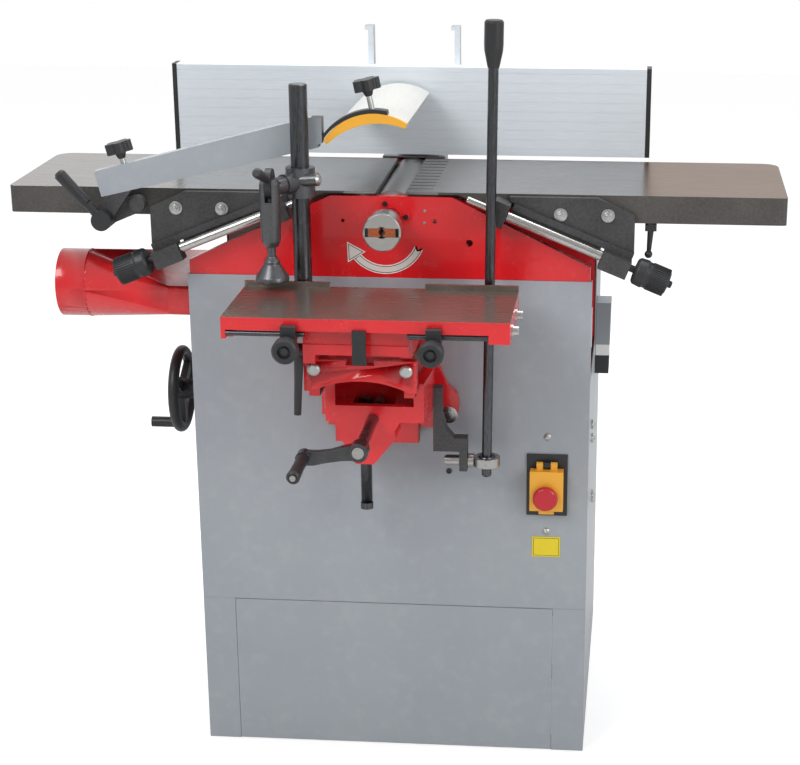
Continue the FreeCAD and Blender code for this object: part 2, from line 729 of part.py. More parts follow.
LOCK_U = 360.0
LOCK_Z = TABLE_HEIGHT - TABLE_RIM - 7
LOCK_Y = TABLE_FRONT + 14.0


def infeed_table():
    lug = box(CUTTER_X + LOCK_U - 8, CUTTER_X + LOCK_U + 8, LOCK_Y, LOCK_Y + 12, LOCK_Z - 7,
              TABLE_HEIGHT - TABLE_RIM)
    rib = box(CUTTER_X + LOCK_U - 8, CUTTER_X + LOCK_U + 8, TABLE_FRONT + TABLE_WALL - 1, LOCK_Y + 12,
              TABLE_HEIGHT - TABLE_RIM, TABLE_HEIGHT - TABLE_TOP_THICK)
    lug = lug.fuse(rib).cut(rod_y(CUTTER_X + LOCK_U, LOCK_Y - 1, LOCK_Y + 13, LOCK_Z, 3 + RUN_CLEAR))
    casting = table_casting(INFEED_LENGTH).fuse(lug)
    return [casting, lip_plate(True)]


def outfeed_table():
    return [mirrored(table_casting(OUTFEED_LENGTH)), mirrored(lip_plate(False))]


# Table brackets: a plate on the front rim and one on the rear rim, each with its runner,
# and the block that holds the outer end of the adjusting screw
def bracket_outline():
    start = CUTTER_X + RAMP_U + 9
    end = CUTTER_X + BRACKET_END
    slope = SIN_R / COS_R
    top = TABLE_HEIGHT - 2.5
    corner = RAMP_Z - (BRACKET_END - RAMP_U) * slope
    return [(start, RAMP_Z - 9 * slope), (end, corner), (end, corner + BRACKET_SIDE),
            (end - BRACKET_CHAMFER, top), (start, top)]


def table_brackets():
    outline = bracket_outline()
    front = prism_xz(outline, BRACKET_FRONT, TABLE_FRONT)
    runner = ramp_bar(RUNNER_START, RAMP_LENGTH, -RUNNER_DROP, 0.5, TABLE_FRONT - RUNNER_THICK, TABLE_FRONT)
    front = front.fuse(runner)
    rear = prism_xz(outline, TABLE_REAR, TABLE_REAR + REAR_BRACKET)
    rear = rear.fuse(ramp_bar(RUNNER_START, RAMP_LENGTH, -RUNNER_DROP, 0.5, TABLE_REAR, TABLE_REAR + REAR_BRACKET))
    for u, r in ((236.0, 7.0), (301.0, 6.0)):
        front = front.cut(rod_y(CUTTER_X + u, BRACKET_FRONT - 1, BRACKET_FRONT + 6, 824.0, r))
    block = ramp_bar(END_BLOCK_START, END_BLOCK_START + END_BLOCK_LENGTH, -NUT_BLOCK_DROP, -RUNNER_DROP,
                     SCREW_AXIS_Y - BLOCK_HALF_Y, TABLE_FRONT - WAY_THICK + 1)
    block = block.cut(ramp_turned([(END_BLOCK_START - 5, SCREW_R + RUN_CLEAR), (END_BLOCK_START + 60, SCREW_R + RUN_CLEAR)]))
    return [front, rear, block]


def infeed_brackets():
    return table_brackets()


def outfeed_brackets():
    return [mirrored(s) for s in table_brackets()]


# Adjusting screw with its sleeve, and the hand knob
def table_adjuster():
    sleeve_start = NUT_START + NUT_BLOCK_LENGTH + FACE_GAP
    sleeve_end = END_BLOCK_START - FACE_GAP
    knob_start = END_BLOCK_START + END_BLOCK_LENGTH + 8
    knob_end = knob_start + KNOB_LENGTH
    screw = ramp_turned([(-46, SCREW_R - 1), (-44, SCREW_R), (sleeve_start, SCREW_R), (sleeve_start, SLEEVE_R),
                         (sleeve_end, SLEEVE_R), (sleeve_end, SCREW_R), (knob_end + 5, SCREW_R),
                         (knob_end + 6, SCREW_R - 1)])
    knob = ramp_turned([(knob_start, KNOB_R * 0.8), (knob_start + 3, KNOB_R - 1), (knob_start + 15, KNOB_R),
                        (knob_start + 17, KNOB_R - 1.5), (knob_end - 4, KNOB_R - 1.5), (knob_end, KNOB_R - 5)])
    knob = knob.cut(ramp_turned([(knob_start - 1, SCREW_R), (knob_end + 1, SCREW_R)]))
    return [screw, knob]


def infeed_adjuster():
    return table_adjuster()


def outfeed_adjuster():
    return [mirrored(s) for s in table_adjuster()]


# Clamp lever hanging under the infeed table
def infeed_lock_lever():
    x = CUTTER_X + LOCK_U
    hub = rod_y(x, LOCK_Y - 11, LOCK_Y - FACE_GAP, LOCK_Z, 6.5)
    pin = rod_y(x, LOCK_Y - 2, LOCK_Y + 12, LOCK_Z, 3.0)
    arm = turned([(0, 4.5), (34, 3.0)], (x, LOCK_Y - 5.5, LOCK_Z - 2), (-0.06, 0, -1))
    ball = Part.makeSphere(5.5, Vector(x - 2.2, LOCK_Y - 5.5, LOCK_Z - 38))
    return hub.fuse([pin, arm, ball])


# Cutterblock on its shaft with the driven pulley, knives and wedges
KNIVES = 3
KNIFE_THICK = 3.0
WEDGE_THICK = 9.0


def around_cutter(shape, angle):
    copy = shape.copy()
    copy.rotate(Vector(CUTTER_X, 0, CUTTER_Z), Vector(0, 1, 0), angle)
    return copy


def knife_slot():
    return box(CUTTER_X, CUTTER_X + KNIFE_THICK + WEDGE_THICK, INNER_FRONT, INNER_REAR,
               CUTTER_Z + CUTTER_R - 17, CUTTER_Z + CUTTER_R + 2)


def cutterblock():
    y0 = INNER_FRONT + 2
    y1 = INNER_REAR - 2
    block = rod_y(CUTTER_X, y0, y1, CUTTER_Z, BLOCK_R)
    for i in range(KNIVES):
        block = block.cut(around_cutter(knife_slot(), 60 + 120 * i))
    shaft = rod_y(CUTTER_X, CHUCK_FRONT + CHUCK_LENGTH - 20, PULLEY_Y + PULLEY_WIDTH, CUTTER_Z, CUTTER_SHAFT_R)
    block = block.fuse(shaft)
    pulley = rod_y(CUTTER_X, PULLEY_Y, PULLEY_Y + PULLEY_WIDTH, CUTTER_Z, CUTTER_PULLEY_R)
    pulley = pulley.cut(rod_y(CUTTER_X, PULLEY_Y - 1, PULLEY_Y + PULLEY_WIDTH + 1, CUTTER_Z, CUTTER_SHAFT_R))
    solids = [block, pulley]
    for i in range(KNIVES):
        knife = box(CUTTER_X, CUTTER_X + KNIFE_THICK, y0, y1, CUTTER_Z + CUTTER_R - 17, CUTTER_Z + CUTTER_R - 0.3)
        wedge = box(CUTTER_X + KNIFE_THICK, CUTTER_X + KNIFE_THICK + WEDGE_THICK, y0, y1,
                    CUTTER_Z + CUTTER_R - 17, CUTTER_Z + CUTTER_R - 6)
        solids.append(around_cutter(knife, 60 + 120 * i))
        solids.append(around_cutter(wedge, 60 + 120 * i))
    return solids


# Two-jaw mortising chuck on the front end of the cutterblock shaft
def jaw_slot():
    return box(CUTTER_X - CHUCK_R + 3, CUTTER_X + CHUCK_R - 3, CHUCK_FRONT - 1, CHUCK_FRONT + JAW_DEPTH,
               CUTTER_Z - JAW_WIDTH / 2, CUTTER_Z + JAW_WIDTH / 2)


def chuck_body():
    back = CHUCK_FRONT + CHUCK_LENGTH
    body = turned([(0, CHUCK_R - 1.5), (1.5, CHUCK_R), (CHUCK_HEAD - 1.5, CHUCK_R), (CHUCK_HEAD, CHUCK_R - 1.5),
                   (CHUCK_HEAD, CHUCK_NECK_R), (CHUCK_LENGTH, CHUCK_NECK_R)],
                  (CUTTER_X, CHUCK_FRONT, CUTTER_Z), (0, 1, 0))
    body = body.cut(jaw_slot())
    body = body.cut(rod_y(CUTTER_X, CHUCK_FRONT - 1, CHUCK_FRONT + JAW_DEPTH + 4, CUTTER_Z, 8.0))
    return body.cut(rod_y(CUTTER_X, back - 20, back + 1, CUTTER_Z, CUTTER_SHAFT_R + RUN_CLEAR))


def chuck_jaw(side):
    x0 = CUTTER_X + side * JAW_GAP
    x1 = CUTTER_X + side * (JAW_GAP + JAW_LENGTH)
    half = JAW_WIDTH / 2 - RUN_CLEAR
    jaw = box(min(x0, x1), max(x0, x1), CHUCK_FRONT + 1, CHUCK_FRONT + JAW_DEPTH - RUN_CLEAR,
              CUTTER_Z - half, CUTTER_Z + half)
    return jaw.cut(rod_y(CUTTER_X, CHUCK_FRONT, CHUCK_FRONT + JAW_DEPTH, CUTTER_Z, 4.5))


# Feed rollers either side of the cutterblock
def feed_roller(side):
    x = CUTTER_X + side * ROLLER_OFFSET
    body = rod_y(x, INNER_FRONT + 1, INNER_REAR - 1, ROLLER_Z, ROLLER_R)
    if side > 0:
        for i in range(18):
            angle = math.radians(20 * i)
            groove = rod_y(x + (ROLLER_R + 0.6) * math.cos(angle), INNER_FRONT, INNER_REAR,
                           ROLLER_Z + (ROLLER_R + 0.6) * math.sin(angle), 1.8)
            body = body.cut(groove)
    reach = JOURNAL_DEPTH - FACE_GAP
    return body.fuse(rod_y(x, INNER_FRONT - reach, INNER_REAR + reach, ROLLER_Z, JOURNAL_R))


# Motor behind the rear wall, its pulley, and the belt
MOTOR_FINS = 20
MOTOR_BORE = 40.0


def motor():
    frame = rod_y(CUTTER_X, MOTOR_START, MOTOR_START + MOTOR_LENGTH, MOTOR_Z, MOTOR_R - 6)
    for i in range(MOTOR_FINS):
        fin = box(CUTTER_X - 1.5, CUTTER_X + 1.5, MOTOR_START + 12, MOTOR_START + MOTOR_LENGTH - 35,
                  MOTOR_Z + MOTOR_R - 8, MOTOR_Z + MOTOR_R)
        fin.rotate(Vector(CUTTER_X, 0, MOTOR_Z), Vector(0, 1, 0), 360.0 / MOTOR_FINS * i)
        frame = frame.fuse(fin)
    half = MOTOR_R + 10
    plate = box(CUTTER_X - half, CUTTER_X + half, MOTOR_START - 8, MOTOR_START, MOTOR_Z - half, MOTOR_Z + half)
    post = MOTOR_R - 2
    frame = frame.fuse(plate)
    for sx in (-1, 1):
        for sz in (-1, 1):
            frame = frame.fuse(rod_y(CUTTER_X + sx * post, REAR_WALL_BACK, MOTOR_START - 7, MOTOR_Z + sz * post, 8))
    fan = rod_y(CUTTER_X, MOTOR_START + MOTOR_LENGTH - 30, MOTOR_START + MOTOR_LENGTH, MOTOR_Z, MOTOR_R)
    frame = frame.fuse(fan)
    return frame.cut(rod_y(CUTTER_X, MOTOR_START - 9, MOTOR_START + MOTOR_BORE, MOTOR_Z, MOTOR_SHAFT_R + RUN_CLEAR))


def motor_pulley():
    wheel = rod_y(CUTTER_X, PULLEY_Y, PULLEY_Y + PULLEY_WIDTH, MOTOR_Z, MOTOR_PULLEY_R)
    return wheel.fuse(rod_y(CUTTER_X, PULLEY_Y - 1, MOTOR_START + MOTOR_BORE - 2, MOTOR_Z, MOTOR_SHAFT_R))


def belt_outline(extra):
    top_r = CUTTER_PULLEY_R + FACE_GAP + extra
    low_r = MOTOR_PULLEY_R + FACE_GAP + extra
    distance = CUTTER_Z - MOTOR_Z
    lean = math.asin((low_r - top_r) / distance)
    y0 = PULLEY_Y + (PULLEY_WIDTH - BELT_WIDTH) / 2

    def point(r, zc, angle):
        return Vector(CUTTER_X + r * math.cos(angle), y0, zc + r * math.sin(angle))
    top = Part.Arc(point(top_r, CUTTER_Z, lean), point(top_r, CUTTER_Z, math.pi / 2),
                   point(top_r, CUTTER_Z, math.pi - lean)).toShape()
    low = Part.Arc(point(low_r, MOTOR_Z, math.pi - lean), point(low_r, MOTOR_Z, -math.pi / 2),
                   point(low_r, MOTOR_Z, lean)).toShape()
    left = Part.LineSegment(point(top_r, CUTTER_Z, math.pi - lean), point(low_r, MOTOR_Z, math.pi - lean)).toShape()
    right = Part.LineSegment(point(low_r, MOTOR_Z, lean), point(top_r, CUTTER_Z, lean)).toShape()
    wire = Part.Wire([top, left, low, right])
    return Part.Face(wire).extrude(Vector(0, BELT_WIDTH, 0))


def drive_belt():
    return belt_outline(BELT_THICK).cut(belt_outline(0.0))


# Thicknessing bed with its fixed screw, and the hollow column with the gearbox
def thickness_table():
    x0 = CUTTER_X - BED_LENGTH / 2
    x1 = CUTTER_X + BED_LENGTH / 2
    y0 = INNER_FRONT + BED_SIDE_GAP
    y1 = INNER_REAR - BED_SIDE_GAP
    bed = box(x0, x1, y0, y1, BED_TOP - BED_THICK, BED_TOP)
    skirt = box(x0, x1, y0, y1, BED_TOP - BED_THICK - BED_SKIRT, BED_TOP - BED_THICK)
    for i in range(2):
        gap = 240.0
        start = x0 + 8 + i * (gap + 4)
        skirt = skirt.cut(box(start, start + gap - 4, y0 + 8, y1 - 8, BED_TOP - BED_THICK - BED_SKIRT - 1,
                              BED_TOP - BED_THICK))
    bed = bed.fuse(skirt)
    bed = bed.fuse(rod_z(CUTTER_X, MID_Y, BED_TOP - BED_BOSS, BED_TOP - BED_THICK, 26))
    bed = bed.cut(rod_z(CUTTER_X, MID_Y, BED_TOP - BED_BOSS - 1, BED_TOP - BED_THICK + 4, RISE_SCREW_R))
    screw = rod_z(CUTTER_X, MID_Y, RISE_SCREW_FOOT, BED_TOP - BED_THICK + 4, RISE_SCREW_R)
    return [bed, screw]


GEARBOX_HALF = 38.0
GEARBOX_LOW = HANDWHEEL_Z - 36
GEARBOX_HIGH = HANDWHEEL_Z + 34


def thickness_column():
    plate = box(CUTTER_X - FLOOR_PLATE_HALF, CUTTER_X + FLOOR_PLATE_HALF, INNER_FRONT, INNER_REAR,
                FLOOR_PLATE_Z, FLOOR_PLATE_Z + FLOOR_PLATE_THICK)
    tube = rod_z(CUTTER_X, MID_Y, FLOOR_PLATE_Z + FLOOR_PLATE_THICK, GEARBOX_LOW, 34)
    case = box(CUTTER_X - GEARBOX_HALF, CUTTER_X + GEARBOX_HALF, MID_Y - GEARBOX_HALF, MID_Y + GEARBOX_HALF,
               GEARBOX_LOW, GEARBOX_HIGH)
    case = case.cut(box(CUTTER_X - GEARBOX_HALF + 8, CUTTER_X + GEARBOX_HALF - 8, MID_Y - GEARBOX_HALF + 8,
                        MID_Y + GEARBOX_HALF - 8, GEARBOX_LOW + 8, GEARBOX_HIGH - 8))
    body = plate.fuse([tube, case])
    body = body.cut(rod_z(CUTTER_X, MID_Y, FLOOR_PLATE_Z - 1, GEARBOX_HIGH + 1, RISE_SCREW_R + 1.5))
    body = body.cut(rod_z(CUTTER_X, MID_Y, FLOOR_PLATE_Z - 1, GEARBOX_LOW - 8, 26))
    return body.cut(rod_x(CUTTER_X - GEARBOX_HALF - 1, CUTTER_X - GEARBOX_HALF + 9, MID_Y, HANDWHEEL_Z,
                          HANDWHEEL_SHAFT_R + RUN_CLEAR))


# Bevel nut under the bed, turned by the pinion on the handwheel shaft
def rise_gear():
    base = HANDWHEEL_Z - GEAR_R
    gear = turned([(0, GEAR_R - FACE_GAP), (GEAR_FACE, GEAR_R - GEAR_FACE - FACE_GAP)], (CUTTER_X, MID_Y, base), (0, 0, 1))
    hub = rod_z(CUTTER_X, MID_Y, GEARBOX_LOW + 8 + FACE_GAP, base + 0.5, 18)
    gear = gear.fuse(hub)
    return gear.cut(rod_z(CUTTER_X, MID_Y, GEARBOX_LOW, HANDWHEEL_Z, RISE_SCREW_R + RUN_CLEAR))


def handwheel():
    x = HANDWHEEL_X
    half = HANDWHEEL_THICK / 2
    rim = Part.makeTorus(HANDWHEEL_R - 8, 8, Vector(x, MID_Y, HANDWHEEL_Z), Vector(1, 0, 0))
    hub = rod_x(x - half, x + half + 10, MID_Y, HANDWHEEL_Z, 15)
    wheel = rim.fuse(hub)
    for i in range(3):
        spoke = box(x - 5, x + 5, MID_Y - 8, MID_Y + 8, HANDWHEEL_Z + 8, HANDWHEEL_Z + HANDWHEEL_R - 8)
        spoke.rotate(Vector(x, MID_Y, HANDWHEEL_Z), Vector(1, 0, 0), 60 + 120 * i)
        wheel = wheel.fuse(spoke)
    grip_z = HANDWHEEL_Z - HANDWHEEL_R + 12
    pinion_x = CUTTER_X - GEAR_R
    shaft = rod_x(x - half + 1, pinion_x + 1, MID_Y, HANDWHEEL_Z, HANDWHEEL_SHAFT_R)
    wheel = wheel.cut(rod_x(x - half, x + half + 11, MID_Y, HANDWHEEL_Z, HANDWHEEL_SHAFT_R))
    pinion = turned([(0, GEAR_R - FACE_GAP), (GEAR_FACE, GEAR_R - GEAR_FACE - FACE_GAP)],
                    (pinion_x, MID_Y, HANDWHEEL_Z), (1, 0, 0))
    grip = rod_x(x - 5 - GRIP_LENGTH, x - 5, MID_Y, grip_z, GRIP_R)
    return [wheel.fuse(grip), shaft.fuse(pinion)]


# Dust hood: a tray under the cutterblock, a neck out of the tunnel and a round hose spigot
def hood_section(x, yc, zc, half_y, half_z, corner):
    # eight edges, so that the rectangle and the circle match when lofted
    k = corner * math.sqrt(0.5)
    y_in = half_y - corner
    z_in = half_z - corner
    edges = []
    quadrants = ((1, 1), (-1, 1), (-1, -1), (1, -1))
    corners = []
    for i, (sy, sz) in enumerate(quadrants):
        cy = yc + sy * y_in
        cz = zc + sz * z_in
        along_y = Vector(x, cy, cz + sz * corner)
        along_z = Vector(x, cy + sy * corner, cz)
        middle = Vector(x, cy + sy * k, cz + sz * k)
        first, last = (along_z, along_y) if i % 2 == 0 else (along_y, along_z)
        corners.append((first, middle, last))
    for i in range(4):
        first, middle, last = corners[i]
        edges.append(Part.Arc(first, middle, last).toShape())
        edges.append(Part.LineSegment(last, corners[(i + 1) % 4][0]).toShape())
    return Part.Wire(edges)


def hood_solid(inset):
    yc = MID_Y
    low = BED_TOP + 0.5
    zc = low + HOOD_HEIGHT / 2
    half_y = HOOD_WIDTH / 2 - inset
    half_z = HOOD_HEIGHT / 2 - inset
    tray_end = CUTTER_X + 55 - inset
    neck = Part.makeLoft([hood_section(tray_end, yc, zc, half_y, half_z, 6.0),
                          hood_section(HOOD_NECK, yc, zc, half_y, half_z, 6.0)], True)
    r = SPIGOT_R - inset
    flare = Part.makeLoft([hood_section(HOOD_NECK, yc, zc, half_y, half_z, 6.0),
                           hood_section(SPIGOT_START, yc, SPIGOT_Z, r, r, r - 0.5)], True)
    spigot_end = SPIGOT_END - (1 if inset else 0)
    spigot = rod_x(spigot_end, SPIGOT_START, yc, SPIGOT_Z, r)
    return neck.fuse([flare, spigot])


def dust_hood():
    hood = hood_solid(0.0).cut(hood_solid(HOOD_WALL))
    bead = Part.makeTorus(SPIGOT_R - 0.5, 1.5, Vector(SPIGOT_START, MID_Y, SPIGOT_Z), Vector(1, 0, 0))
    hood = hood.fuse(bead)
    low = BED_TOP + 0.5
    mouth = box(CUTTER_X - 45, CUTTER_X + 45, MID_Y - HOOD_WIDTH / 2 + 8, MID_Y + HOOD_WIDTH / 2 - 8,
                low + HOOD_HEIGHT - 6, low + HOOD_HEIGHT + 2)
    return hood.cut(mouth)


# Fastenings on the stand
def dome(x, y, z, r, height, axis):
    return turned([(0, r), (height * 0.4, r), (height, r * 0.55)], (x, y, z), axis)


SWITCH_SCREW_OUT = 72.2
SHEET_SCREW_IN = 68.0
SCREW_HEAD_R = 5.0
SCREW_HEAD = 3.5
SIDE_HEAD_R = 7.0
SIDE_HEAD = 6.0
# place of the side's bolts behind the middle of the planing width and above the plinth
SIDE_BOLTS = ((-17.0, 248.0), (2.0, 220.0), (79.0, 102.0), (93.0, 90.0))


def cabinet_screws():
    solids = []
    for z in (SWITCH_Z + SWITCH_SCREW_OUT, SWITCH_Z - SWITCH_SCREW_OUT):
        solids.append(dome(SWITCH_X, FRONT, z, SCREW_HEAD_R, SCREW_HEAD, (0, -1, 0)))
    for y, up in SIDE_BOLTS:
        solids.append(dome(HALF_W, MID_Y + y, PLINTH_HEIGHT + up, SIDE_HEAD_R, SIDE_HEAD, (1, 0, 0)))
    for sx in (-1, 1):
        for z in (PLINTH_HEIGHT + SHEET_SCREW_IN, STAND_TOP - SHEET_SCREW_IN):
            solids.append(dome(sx * (HALF_W - 20), REAR, z, SCREW_HEAD_R, SCREW_HEAD, (0, 1, 0)))
    return solids


# Switch: back plate and body, hinged yellow cover and red mushroom stop
FLAP_FRONT = FRONT - 4 - FLAP_DEPTH
FLAP_PIVOT_Y = FRONT - 8
FLAP_PIVOT_Z = FLAP_HIGH + 7


def switch_plate():
    half = SWITCH_WIDTH / 2
    plate = box(SWITCH_X - half, SWITCH_X + half, FRONT - 3, FRONT, SWITCH_Z - SWITCH_HEIGHT / 2,
                SWITCH_Z + SWITCH_HEIGHT / 2)
    inset = SWITCH_BODY_INSET
    body = box(SWITCH_X - half + inset, SWITCH_X + half - inset, FRONT - 1, FRONT + SWITCH_BODY,
               SWITCH_Z - SWITCH_HEIGHT / 2 + inset, SWITCH_Z + SWITCH_HEIGHT / 2 - inset)
    lug = box(SWITCH_X - 5, SWITCH_X + 5, FLAP_PIVOT_Y - 4, FRONT - 2, FLAP_PIVOT_Z - 4, FLAP_PIVOT_Z + 4)
    return plate.fuse([body, lug]).cut(rod_x(SWITCH_X - 6, SWITCH_X + 6, FLAP_PIVOT_Y, FLAP_PIVOT_Z, 1.5 + RUN_CLEAR))


def switch_flap():
    half = FLAP_WIDTH / 2
    cover = box(SWITCH_X - half, SWITCH_X + half, FLAP_FRONT, FRONT - 4, FLAP_LOW, FLAP_HIGH)
    cover = cover.cut(box(SWITCH_X - half + 2, SWITCH_X + half - 2, FLAP_FRONT + 3, FRONT, FLAP_LOW + 2, FLAP_HIGH - 2))
    for side in (-1, 1):
        x0 = SWITCH_X + side * 5.5
        x1 = SWITCH_X + side * 15
        tab = box(min(x0, x1), max(x0, x1), FLAP_PIVOT_Y - 4, FLAP_PIVOT_Y + 4, FLAP_HIGH - 1, FLAP_PIVOT_Z)
        eye = rod_x(min(x0, x1), max(x0, x1), FLAP_PIVOT_Y, FLAP_PIVOT_Z, 4)
        cover = cover.fuse([tab, eye])
    cover = cover.fuse(rod_x(SWITCH_X - 7, SWITCH_X + 7, FLAP_PIVOT_Y, FLAP_PIVOT_Z, 1.5))
    cover = cover.fuse(box(SWITCH_X - 11, SWITCH_X + 11, FLAP_FRONT + 4, FRONT - 6, FLAP_LOW - 6, FLAP_LOW + 1))
    return cover.cut(rod_y(SWITCH_X - 1, FLAP_FRONT - 1, FLAP_FRONT + 4, MUSHROOM_Z, 9 + FACE_GAP))


def stop_mushroom():
    return turned([(0, MUSHROOM_R - 5), (2, MUSHROOM_R - 1.5), (5, MUSHROOM_R), (9, MUSHROOM_R), (9, 9), (18, 9)],
                  (SWITCH_X - 1, FLAP_FRONT - 14, MUSHROOM_Z), (0, 1, 0))


# Fence: ribbed aluminium extrusion with end caps and two rear straps
def fence():
    x0 = FENCE_X - FENCE_LENGTH / 2
    x1 = FENCE_X + FENCE_LENGTH / 2
    body = box(x0 + FENCE_CAP, x1 - FENCE_CAP, FENCE_Y, FENCE_BACK, FENCE_LOW, FENCE_TOP)
    count = int(FENCE_HEIGHT // FENCE_GROOVE_PITCH)
    for i in range(1, count + 1):
        z = FENCE_LOW + i * FENCE_GROOVE_PITCH - 5
        body = body.cut(box(x0, x1, FENCE_Y - 1, FENCE_Y + 0.8, z, z + 1.2))
    cells = 3
    cell = (FENCE_HEIGHT - 4) / cells
    for i in range(cells):
        z = FENCE_LOW + 4 + i * cell
        body = body.cut(box(x0, x1, FENCE_Y + 4, FENCE_BACK - 4, z, z + cell - 4))
    solids = [body]
    for a in (x0, x1 - FENCE_CAP):
        solids.append(box(a, a + FENCE_CAP, FENCE_Y - 0.5, FENCE_BACK, FENCE_LOW, FENCE_TOP + 1))
    for side in (-1, 1):
        xs = CUTTER_X + side * STRAP_OFFSET
        strap = box(xs - STRAP_WIDTH / 2, xs + STRAP_WIDTH / 2, FENCE_BACK, FENCE_BACK + STRAP_DEPTH,
                    FENCE_PIVOT_Z - 8, STRAP_TOP)
        tip = box(xs - STRAP_WIDTH / 2 - 5, xs, FENCE_BACK, FENCE_BACK + STRAP_DEPTH, STRAP_TOP - 6, STRAP_TOP)
        strap = strap.fuse(tip).cut(rod_x(xs - 9, xs + 9, PIVOT_Y, FENCE_PIVOT_Z, 4 + RUN_CLEAR))
        solids.append(strap)
    return solids


ARM_LOW = TABLE_HEIGHT + 3
ARM_TOP = ARM_LOW + FENCE_ARM_HEIGHT
ARM_Y0 = PIVOT_Y - 6


# Fence carriage: a slide bar behind the fence with the hinge shaft across its front end
def fence_arm():
    half = FENCE_ARM_WIDTH / 2
    bar = box(CUTTER_X - half, CUTTER_X + half, ARM_Y0, ARM_Y0 + FENCE_ARM_LENGTH, ARM_LOW, ARM_TOP)
    for side in (-1, 1):
        x0 = CUTTER_X + side * (half - 8)
        x1 = CUTTER_X + side * half
        lug = box(min(x0, x1), max(x0, x1), ARM_Y0, ARM_Y0 + 14, ARM_TOP - 1, FENCE_PIVOT_Z + 7)
        bar = bar.fuse(lug)
    reach = STRAP_OFFSET + STRAP_WIDTH / 2 + 5
    shaft = rod_x(CUTTER_X - reach, CUTTER_X + reach, PIVOT_Y, FENCE_PIVOT_Z, 4)
    return bar.fuse(shaft)


GUIDE_WALL = 10.0


# Guide block for the slide bar, on a pedestal over the motor space
def fence_guide():
    half = FENCE_ARM_WIDTH / 2
    y0 = FENCE_GUIDE_Y
    y1 = y0 + FENCE_GUIDE_LENGTH
    outer = box(CUTTER_X - half - GUIDE_WALL, CUTTER_X + half + GUIDE_WALL, y0, y1, STAND_TOP + SHEET, ARM_TOP + 8)
    outer = outer.cut(box(CUTTER_X - half - 1, CUTTER_X + half + 1, y0 + 8, y1 - 8, STAND_TOP + SHEET + 8, ARM_LOW - 12))
    outer = outer.cut(box(CUTTER_X - half - SLIDE_GAP, CUTTER_X + half + SLIDE_GAP, y0 - 1, y1 + 1,
                          ARM_LOW - SLIDE_GAP, ARM_TOP + SLIDE_GAP))
    foot = box(CUTTER_X - 60, CUTTER_X + 60, y0, y1, STAND_TOP + SHEET, STAND_TOP + SHEET + 8)
    body = outer.fuse(foot)
    return body.cut(rod_z(CUTTER_X, (y0 + y1) / 2, ARM_TOP - 1, ARM_TOP + 9, 5 + RUN_CLEAR))


def fence_clamp_lever():
    y = FENCE_GUIDE_Y + FENCE_GUIDE_LENGTH / 2
    z = ARM_TOP + 8
    stem = rod_z(CUTTER_X, y, ARM_TOP + 1, z + 8, 5)
    hub = rod_z(CUTTER_X, y, z + FACE_GAP, z + 16, 10)
    arm = turned([(0, 5), (70, 6.5), (76, 4)], (CUTTER_X, y, z + 11), (0.95, 0.1, 0.3))
    return stem.fuse([hub, arm])


# Arm frame of the cutter guard: a runs along the arm, b is square to it
def arm_point(a, b):
    c = math.cos(math.radians(ARM_ANGLE))
    s = math.sin(math.radians(ARM_ANGLE))
    return ARM_START_X + a * c - b * s, ARM_START_Z + a * s + b * c


def arm_axis():
    return (-math.sin(math.radians(ARM_ANGLE)), 0, math.cos(math.radians(ARM_ANGLE)))


def arm_strip(a0, a1, b0, b1, c0, c1, y0, y1):
    corners = [arm_point(a0, b0), arm_point(a1, c0), arm_point(a1, c1), arm_point(a0, b1)]
    return prism_xz(corners, y0, y1)


ARM_BACK = ARM_FRONT + ARM_DEPTH
KNOB_PLACE = 42.0
PIVOT_PIN_R = 6.0
PIN_MEET = 9.0
PIVOT_BRACKET_FRONT = TABLE_FRONT - BRACKET - 5


# Bracket on the outfeed table's front rim that carries the guard arm's pivot
def guard_bracket():
    y0 = PIVOT_BRACKET_FRONT
    boss_x = CUTTER_X - BRACKET_END - 16
    boss_z = TABLE_HEIGHT - 20
    dx = boss_x - ARM_HUB_X
    dz = boss_z - ARM_HUB_Z
    length = math.hypot(dx, dz)
    nx = -dz / length * 12
    nz = dx / length * 12
    web = prism_xz([(ARM_HUB_X + nx, ARM_HUB_Z + nz), (ARM_HUB_X - nx, ARM_HUB_Z - nz), (boss_x - nx, boss_z - nz),
                    (boss_x + nx, boss_z + nz)], y0, TABLE_FRONT)
    body = web.fuse([rod_y(ARM_HUB_X, y0, TABLE_FRONT, ARM_HUB_Z, 14), rod_y(boss_x, y0 - 5, TABLE_FRONT, boss_z, 11)])
    return body.fuse(rod_y(ARM_HUB_X, ARM_FRONT + PIN_MEET, y0 + 1, ARM_HUB_Z, PIVOT_PIN_R))


